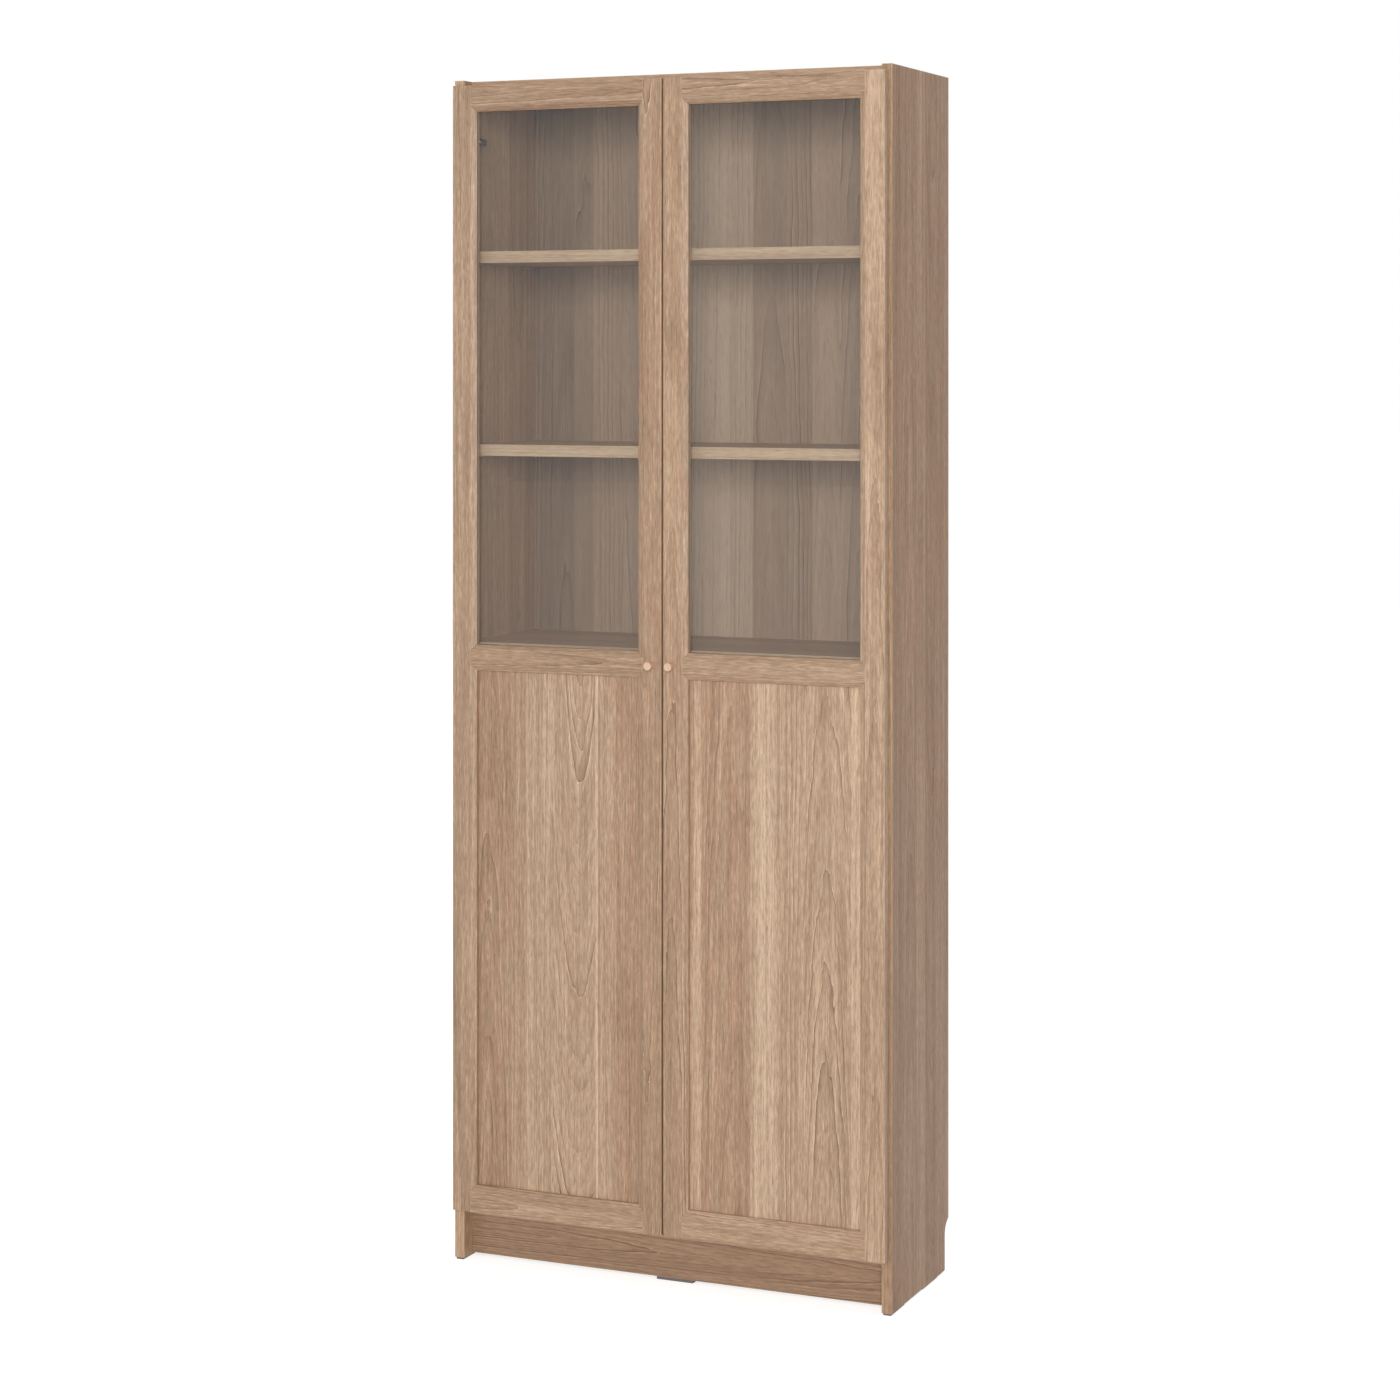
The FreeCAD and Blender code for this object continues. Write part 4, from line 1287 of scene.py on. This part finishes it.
@dataclass(frozen=True)
class ShelfPins:
    """Round metal pins with a flat on top, where the loose shelves lie."""

    shank: float = 2.5 * MM
    stub: float = 3.5 * MM
    flat: float = 2.0 * MM
    ease: float = 0.6 * MM
    length: float = 9.5 * MM

    def build(self, material: Material) -> None:
        """Turn each pin where the plain one is.

        Args:
            material: Their metal.
        """
        made = Turned("shelf_pins_turned", "case", "steel")
        for corners in loose_parts("shelf_pins"):
            low, high = corner_box(corners)
            inward = -1.0 if low.x > 0.0 else 1.0
            tip = low.x if low.x > 0.0 else high.x
            buried = high.x - low.x - self.length
            seat = Vector((tip - inward * self.length, 0.5 * (low.y + high.y), low.z + self.stub))
            profile = ((0.0, -buried), (self.shank - self.ease, -buried),
                       (self.shank, self.ease - buried), (self.shank, 0.0), (self.stub, 0.0),
                       (self.stub, self.length - self.ease), (self.stub - self.ease, self.length),
                       (0.0, self.length))
            made.add(seat, Vector((inward, 0.0, 0.0)), [Ring(*place) for place in profile],
                     ceiling=seat.z + self.flat)
        made.finish(material, "shelf_pins")


@dataclass(frozen=True)
class Knob:
    """A door's turned knob, with a rounded rim and a shallow hollow in its face.

    The hollow runs through points given as shares of its radius and of its depth.
    """

    side: Side
    base: float = 5.5 * MM
    base_ease: float = 0.4 * MM
    rim_ease: float = 1.2 * MM
    rim_steps: int = 6
    rim_width: float = 0.5 * MM
    hollow_depth: float = 0.6 * MM
    hollow: tuple[tuple[float, float], ...] = ((1.0, 0.0), (0.7, 0.5), (0.35, 0.9), (0.0, 1.0))

    def build(self) -> None:
        """Turn the knob where the plain one is."""
        name = f"{self.side.word}_knob"
        low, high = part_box(name)
        seat = Vector((0.5 * (low[0] + high[0]), high[1], 0.5 * (low[2] + high[2])))
        wood = OakFinish(f"turned_wood.{self.side.word}", Grain.OUTWARD, KNOB_BIRCH,
                         (Strip(1.0, 0.5, 0.1, 0.3, 2.0, 0.0),), Rings(2.0 * MM, 2.0 * MM),
                         seed=3.0 + self.side.value, contrast=0.6, edge_width=0.1 * MM)
        made = Turned(f"{name}_turned", self.side.door, "turned_wood")
        made.add(seat, Vector((0.0, -1.0, 0.0)), self._rings(0.5 * (high[0] - low[0]), high[1] - low[1]))
        made.finish(wood.material(low, high), name)

    def _rings(self, rim: float, length: float) -> list[Ring]:
        """Lay out the rings of the knob, from the door to its face.

        Args:
            rim: Radius of the rim.
            length: Length of the knob.

        Returns:
            The rings.
        """
        ease = self.rim_ease
        neck = rim - ease * (rim - self.base) / length
        places = [(0.0, 0.0), (self.base - self.base_ease, 0.0), (self.base, self.base_ease),
                  (neck, length - ease)]
        places += [(rim - ease + ease * out, length - ease + ease * up)
                   for out, up in arc(0.0, 0.5 * math.pi, self.rim_steps)[1:]]
        edge = rim - ease - self.rim_width
        places += [(share * edge, length - depth * self.hollow_depth) for share, depth in self.hollow]
        return [Ring(*place) for place in places]


@dataclass
class Case:
    """The box of the bookcase: sides, boards, shelves, plinth, feet and fittings."""

    right_strips: tuple[Strip, ...] = (
        Strip(4, 0.47, 0.2, 0.2, 60.0), Strip(46, 0.40, 1.0, 0.4, 60.0),
        Strip(70, 0.47, 0.8, 0.8, 5.0, 30.0, 1.4), Strip(40, 0.54, 0.5, 0.4, -90.0),
        Strip(52, 0.40, 1.0, 0.8, 8.0, -30.0, 1.2), Strip(60, 0.44, 0.8, 0.4, 70.0),
        Strip(8, 0.54, 0.4, 0.1))
    # The left side's strips go darker from front to rear: painted shade towards the back corner inside the
    # case.
    left_strips: tuple[Strip, ...] = (
        Strip(60, 0.64, 0.0, 0.3, 60.0), Strip(64, 0.53, 0.0, 0.6, 5.0, 30.0, 1.4),
        Strip(48, 0.49, 0.1, 0.4, -90.0), Strip(56, 0.44, 0.2, 0.6, 8.0, -30.0, 1.2),
        Strip(52, 0.38, 0.3, 0.4, 70.0))
    shelf_strips: tuple[Strip, ...] = (
        Strip(5, 0.62, 0.1, 0.3, 60.0), Strip(40, 0.50, 0.1, 0.3, 60.0),
        Strip(60, 0.50, 0.4, 0.4, 5.0, 20.0, 0.1), Strip(70, 0.54, 0.2, 0.3, -80.0),
        Strip(65, 0.48, 0.3, 0.4, -6.0, -18.0, -0.1))
    # The plinth's low tone is painted shade from the doors that overhang it.
    plinth_strips: tuple[Strip, ...] = (Strip(1.0, 0.31, 0.2, 1.0, 6.0, 45.0, -0.28),)
    ease: float = 0.5 * MM

    def build(self) -> None:
        """Dress the case, piece by piece."""
        self._sides()
        self._boards()
        self._plinth()
        self._fittings()

    def _sides(self) -> None:
        """Dress the two side panels."""
        for side, strips in ((Side.LEFT, self.left_strips), (Side.RIGHT, self.right_strips)):
            dress_board(f"{side.word}_side_panel", OakFinish(
                f"case_oak.{side.word}_side", Grain.UPRIGHT_SIDE, CASE_OAK, strips,
                seed=11.0 + side.value, contrast=1.3, gloss=0.2), self.ease)

    def _boards(self) -> None:
        """Dress the top, the fixed boards and the loose shelves."""
        boards = ("top_panel", "middle_shelf", "bottom_panel", "lower_shelf_1", "lower_shelf_2",
                  "upper_shelf_1", "upper_shelf_2")
        for place, board in enumerate(boards):
            dress_board(board, OakFinish(f"case_oak.{board}", Grain.LEVEL_FLAT, CASE_OAK,
                                         self.shelf_strips, seed=21.0 + 3.0 * place), self.ease)

    def _plinth(self) -> None:
        """Dress the plinth and what the case stands on."""
        dress_board("plinth", OakFinish("case_oak.plinth", Grain.LEVEL_FRONT, CASE_OAK,
                                        self.plinth_strips, Rings(2.0 * MM), seed=47.0), self.ease)
        plastic = GREY_PLASTIC.material()
        for name in ("middle_foot", "floor_pads"):
            dress(name, plastic)

    def _fittings(self) -> None:
        """Dress the metal fittings and dowels of the case."""
        steel = STEEL.material()
        dress("cam_bolts", steel)
        ShelfPins().build(steel)
        Fasteners("middle_foot_screws", "case").build(steel)
        Fasteners("back_nails", "case", cross=False).build(steel)
        dress("cam_locks", ZINC.material())
        dress_board("case_dowels", OakFinish("dowel_wood.case", Grain.LEVEL_FRONT, DOWEL_BEECH, seed=5.0))


@dataclass
class BackPanel:
    """The folding back: two printed leaves and the tape along their fold."""

    # The left leaf's strips go lighter from the left side towards the middle: painted shade in the corner
    # by the left side, and the last strip raised further as painted light against the shade beside the
    # meeting stiles.
    left_strips: tuple[Strip, ...] = (
        Strip(47, 0.22, 0.6, 0.5, 60.0), Strip(38, 0.24, 0.3, 0.6, 5.0, 36.0, 1.6),
        Strip(38, 0.33, 0.1, 0.6, 5.0, 30.0, 1.2), Strip(60, 0.46, 0.2, 0.5, -80.0),
        Strip(90, 0.49, 0.3, 0.8, 0.0, -40.0, 1.4), Strip(112, 0.68, 0.1, 0.4, 70.0))
    right_strips: tuple[Strip, ...] = (
        Strip(44, 0.60, 0.1, 0.4, 60.0), Strip(62, 0.37, 0.3, 0.6, 5.0, 36.0, 1.5),
        Strip(50, 0.38, 0.4, 0.6, -70.0), Strip(48, 0.50, 0.3, 0.7, 0.0, 40.0, 1.6),
        Strip(100, 0.52, 0.3, 0.8, 0.0, 36.0, 1.3), Strip(84, 0.47, 0.4, 0.5, 80.0))
    rings: Rings = Rings(50.0 * MM, 7.0 * MM)

    def build(self) -> None:
        """Dress both leaves and the tape."""
        for side, strips in ((Side.LEFT, self.left_strips), (Side.RIGHT, self.right_strips)):
            dress_board(f"{side.word}_back_leaf", BackBoardFinish(
                f"back_board.{side.word}", Grain.UPRIGHT_FRONT, BACK_OAK_IN_SHADE, strips, self.rings,
                seed=61.0 + side.value, contrast=0.5, edge_width=0.1 * MM))
        dress("back_fold_tape", PAPER_TAPE.material())


@dataclass
class Door:
    """One door: framed glass above, framed panel below, with its knob and hinges.

    Tones, blushes, figures and hearts run from the hinge stile to the meeting stile, and from the top
    rail down.
    """

    side: Side
    panel_strips: tuple[Strip, ...]
    panel_rings: Rings
    stile_tones: tuple[float, float]
    rail_tones: Triple
    stile_blushes: tuple[float, float] = (0.3, 0.55)
    stile_figures: tuple[float, float] = (0.4, 1.0)
    stile_hearts: tuple[float, float] = (4.0, -5.0)
    stile_rings: Rings = Rings(35.0 * MM, 5.0 * MM)
    rail_hearts: Triple = (10.0, 2.0, -6.0)
    rail_rings: Rings = Rings(20.0 * MM)
    stile_taper: float = 16.0
    stile_seed: float = 80.0
    rail_seed: float = 84.0
    seed_step: float = 20.0
    frame_contrast: float = 1.25
    frame_ease: float = 0.35 * MM
    hinge_ease: float = 0.25 * MM

    def build(self) -> None:
        """Dress the door, piece by piece, and turn its knob."""
        self._stiles()
        self._rails()
        self._panel()
        dress(self._node("door_glass"), GLASS.material())
        dress(self._node("glass_strips"), STRIP_PLASTIC.material())
        Knob(self.side).build()
        self._hinges()

    def _node(self, name: str) -> str:
        """The full node name of a piece of this door."""
        return f"{self.side.word}_{name}"

    def _board(self, name: str, grain: Grain, strip: Strip, rings: Rings, seed: float) -> None:
        """Dress one board of the frame.

        Args:
            name: Name of the board on either side.
            grain: Which way its grain runs.
            strip: Its wood.
            rings: Its rings.
            seed: Number that sets its figure apart from that of other boards.
        """
        node = self._node(name)
        oak = OakFinish(f"door_oak.{node}", grain, DOOR_OAK, (strip,), rings,
                        seed + self.seed_step * self.side.value, self.frame_contrast)
        dress_board(node, oak, self.frame_ease)

    def _stiles(self) -> None:
        """Dress the two stiles."""
        looks = zip(self.stile_tones, self.stile_blushes, self.stile_figures, self.stile_hearts)
        for place, (name, look) in enumerate(zip(("hinge", "meeting"), looks)):
            strip = Strip(1.0, *look, self.stile_taper * self.side.value)
            self._board(f"door_{name}_stile", Grain.UPRIGHT_FRONT, strip, self.stile_rings,
                        self.stile_seed + place)

    def _rails(self) -> None:
        """Dress the three rails."""
        names = ("top", "middle", "bottom")
        for place, (name, tone, heart) in enumerate(zip(names, self.rail_tones, self.rail_hearts)):
            strip = Strip(1.0, tone, blush=0.3, figure=0.7, heart=heart, taper=30.0,
                          rise=0.2 * self.side.value)
            self._board(f"door_{name}_rail", Grain.LEVEL_FRONT, strip, self.rail_rings,
                        self.rail_seed + place)

    def _panel(self) -> None:
        """Dress the wood panel of the lower half, and the dowels in the frame."""
        panel, dowels = self._node("door_panel"), self._node("door_dowels")
        dress_board(panel, OakFinish(f"door_oak.{panel}", Grain.UPRIGHT_FRONT, DOOR_OAK,
                                     self.panel_strips, self.panel_rings, seed=140.0 + self.side.value,
                                     contrast=1.25, edge_width=0.1 * MM))
        dress_board(dowels, OakFinish(f"dowel_wood.{self.side.word}", Grain.LEVEL_FRONT, DOWEL_BEECH,
                                      seed=9.0 + self.side.value))

    def _hinges(self) -> None:
        """Dress the hinges, their screws and the knob's screw."""
        # The plates and arms take the darker copy of the steel, painted shade inside the case.
        dark = SHADED_STEEL.material()
        for name in ("hinge_plates", "hinge_arms"):
            dress(self._node(name), dark)
            ease_edges(self._node(name), self.hinge_ease)
        steel = STEEL.material()
        dress(self._node("hinge_pins"), steel)
        HingeCups(self.side).build(steel)
        Fasteners(self._node("hinge_screws"), "case").build(steel)
        for name in ("cup_screws", "knob_screw"):
            Fasteners(self._node(name), self.side.door).build(steel)


@dataclass(frozen=True)
class Lamp:
    """A square lamp: its power in watts, width in metres and place."""

    name: str
    power: float
    size: float
    place: Triple


@dataclass
class Studio:
    """Pale floor, soft light and the camera."""

    camera_at: Triple = (2.08513, -4.77046, 1.54383)
    camera_turn: float = 23.53
    sensor: float = 36.0
    lens: float = 78.77
    shift_down: float = 0.2439
    farthest: float = 200.0
    ambient: float = 0.42
    lamps: tuple[Lamp, ...] = (Lamp("key_lamp", 560.0, 3.0, (3.6, -9.3, 2.8)),
                               Lamp("fill_lamp", 70.0, 3.0, (-6.8, -8.2, 1.8)),
                               Lamp("rear_lamp", 420.0, 3.0, (-8.0, 6.5, 3.0)))
    lamp_aim: Triple = (0.0, 0.0, 1.0)
    floor_size: float = 60.0
    floor_tiles: int = 8
    floor_colour: Colour = (0.72, 0.72, 0.72)
    floor_roughness: float = 0.9
    floor_lift: float = 0.70

    def build(self) -> None:
        """Set up floor, world, lamps, camera and colour handling."""
        bpy.context.scene.view_settings.view_transform = "Standard"
        self._floor()
        self._world()
        self._lamps()
        self._camera()

    @staticmethod
    def _seen(graph: Graph) -> Value:
        """Find the rays that show the background to the eye, direct, mirrored or through glass.

        Args:
            graph: Graph to add the nodes to.

        Returns:
            A value of 1 on those rays.
        """
        path = graph.add("ShaderNodeLightPath")
        direct, mirrored, through = (graph.out(path, f"Is {ray} Ray")
                                     for ray in ("Camera", "Glossy", "Transmission"))
        return direct.math("MAXIMUM", mirrored).math("MAXIMUM", through)

    def _floor(self) -> None:
        """Lay the pale floor, which turns white where no shadow lies on it."""
        mesh = bpy.data.meshes.new("floor")
        shape = bmesh.new()
        bmesh.ops.create_grid(shape, x_segments=self.floor_tiles, y_segments=self.floor_tiles,
                              size=0.5 * self.floor_size,
                              matrix=Matrix.Translation((0.0, 0.0, CAD_BOX[0][2])))
        shape.to_mesh(mesh)
        shape.free()
        made = Material("pale_floor")
        made.shade(Base_Color=opaque(self.floor_colour), Roughness=self.floor_roughness,
                   Specular_IOR_Level=0.0)
        glow = made.join("ShaderNodeEmission", WHITE, self._seen(made) * self.floor_lift)
        made.fill(made.leave, Surface=made.join("ShaderNodeAddShader", made.out(made.shader, 0), glow))
        mesh.materials.append(made.data)
        floor = place_object("floor", mesh)

    def _world(self) -> None:
        """Surround the object with white for the eye and a plain ambient light."""
        world = bpy.data.worlds.new("studio")
        bpy.context.scene.world = world
        world.use_nodes = True
        world.node_tree.nodes.clear()
        graph = Graph(world.node_tree)
        ambient = graph.join("ShaderNodeBackground", WHITE, self.ambient)
        white = graph.join("ShaderNodeBackground", WHITE, 1.0)
        light = graph.join("ShaderNodeMixShader", self._seen(graph), ambient, white)
        graph.fill(graph.add("ShaderNodeOutputWorld"), Surface=light)

    def _lamps(self) -> None:
        """Hang the large soft lamps, each facing the object."""
        for lamp in self.lamps:
            data = bpy.data.lights.new(lamp.name, "AREA")
            data.energy = lamp.power
            data.size = lamp.size
            piece = place_object(lamp.name, data)
            piece.location = lamp.place
            aim = Vector(self.lamp_aim) - Vector(lamp.place)
            piece.rotation_euler = aim.to_track_quat("-Z", "Y").to_euler()

    def _camera(self) -> None:
        """Stand the level camera where the photograph was taken from."""
        data = bpy.data.cameras.new("camera")
        data.sensor_width = self.sensor
        data.lens = self.lens
        data.shift_y = -self.shift_down
        data.clip_end = self.farthest
        camera = place_object("camera", data)
        camera.location = self.camera_at
        camera.rotation_euler = (math.radians(90.0), 0.0, math.radians(self.camera_turn))
        bpy.context.scene.camera = camera


LEFT_PANEL = (
    Strip(66, 0.42, 0.9, 0.5, -8.0, 40.0, 0.75), Strip(28, 0.48, 0.3, 0.3, 50.0),
    Strip(46, 0.57, 0.05, 0.3, 70.0), Strip(78, 0.56, 0.1, 1.0, 14.0, -86.0, 0.83),
    Strip(5, 0.74, 0.0, 0.1), Strip(2, 0.28, 0.2, 0.1), Strip(24, 0.56, 0.3, 0.3, -60.0),
    Strip(55, 0.48, 0.9, 0.4, 60.0, 10.0))
RIGHT_PANEL = (
    Strip(26, 0.60, 0.2, 0.2, 60.0), Strip(84, 0.50, 0.9, 0.5, 22.0, 30.0, 0.4),
    Strip(45, 0.67, 0.05, 0.2, -90.0), Strip(42, 0.56, 0.2, 0.6, 70.0),
    Strip(82, 0.56, 0.15, 1.0, 0.0, 41.4, 1.0), Strip(24, 0.69, 0.05, 0.2, 50.0))
LEFT_DOOR = Door(Side.LEFT, LEFT_PANEL, Rings(36.0 * MM, 4.5 * MM, year=32448.0),
                 stile_tones=(0.45, 0.49), rail_tones=(0.40, 0.46, 0.48))
RIGHT_DOOR = Door(Side.RIGHT, RIGHT_PANEL, Rings(66.0 * MM, 6.0 * MM, year=451.0),
                  stile_tones=(0.56, 0.49), rail_tones=(0.42, 0.50, 0.51))


def main() -> None:
    """Build the bookcase's sub-assemblies and the studio in order."""
    logging.basicConfig(level=logging.INFO, format="%(name)s: %(message)s")
    for part in (Case(), BackPanel(), LEFT_DOOR, RIGHT_DOOR, Studio()):
        part.build()


if __name__ == "__main__":
    main()
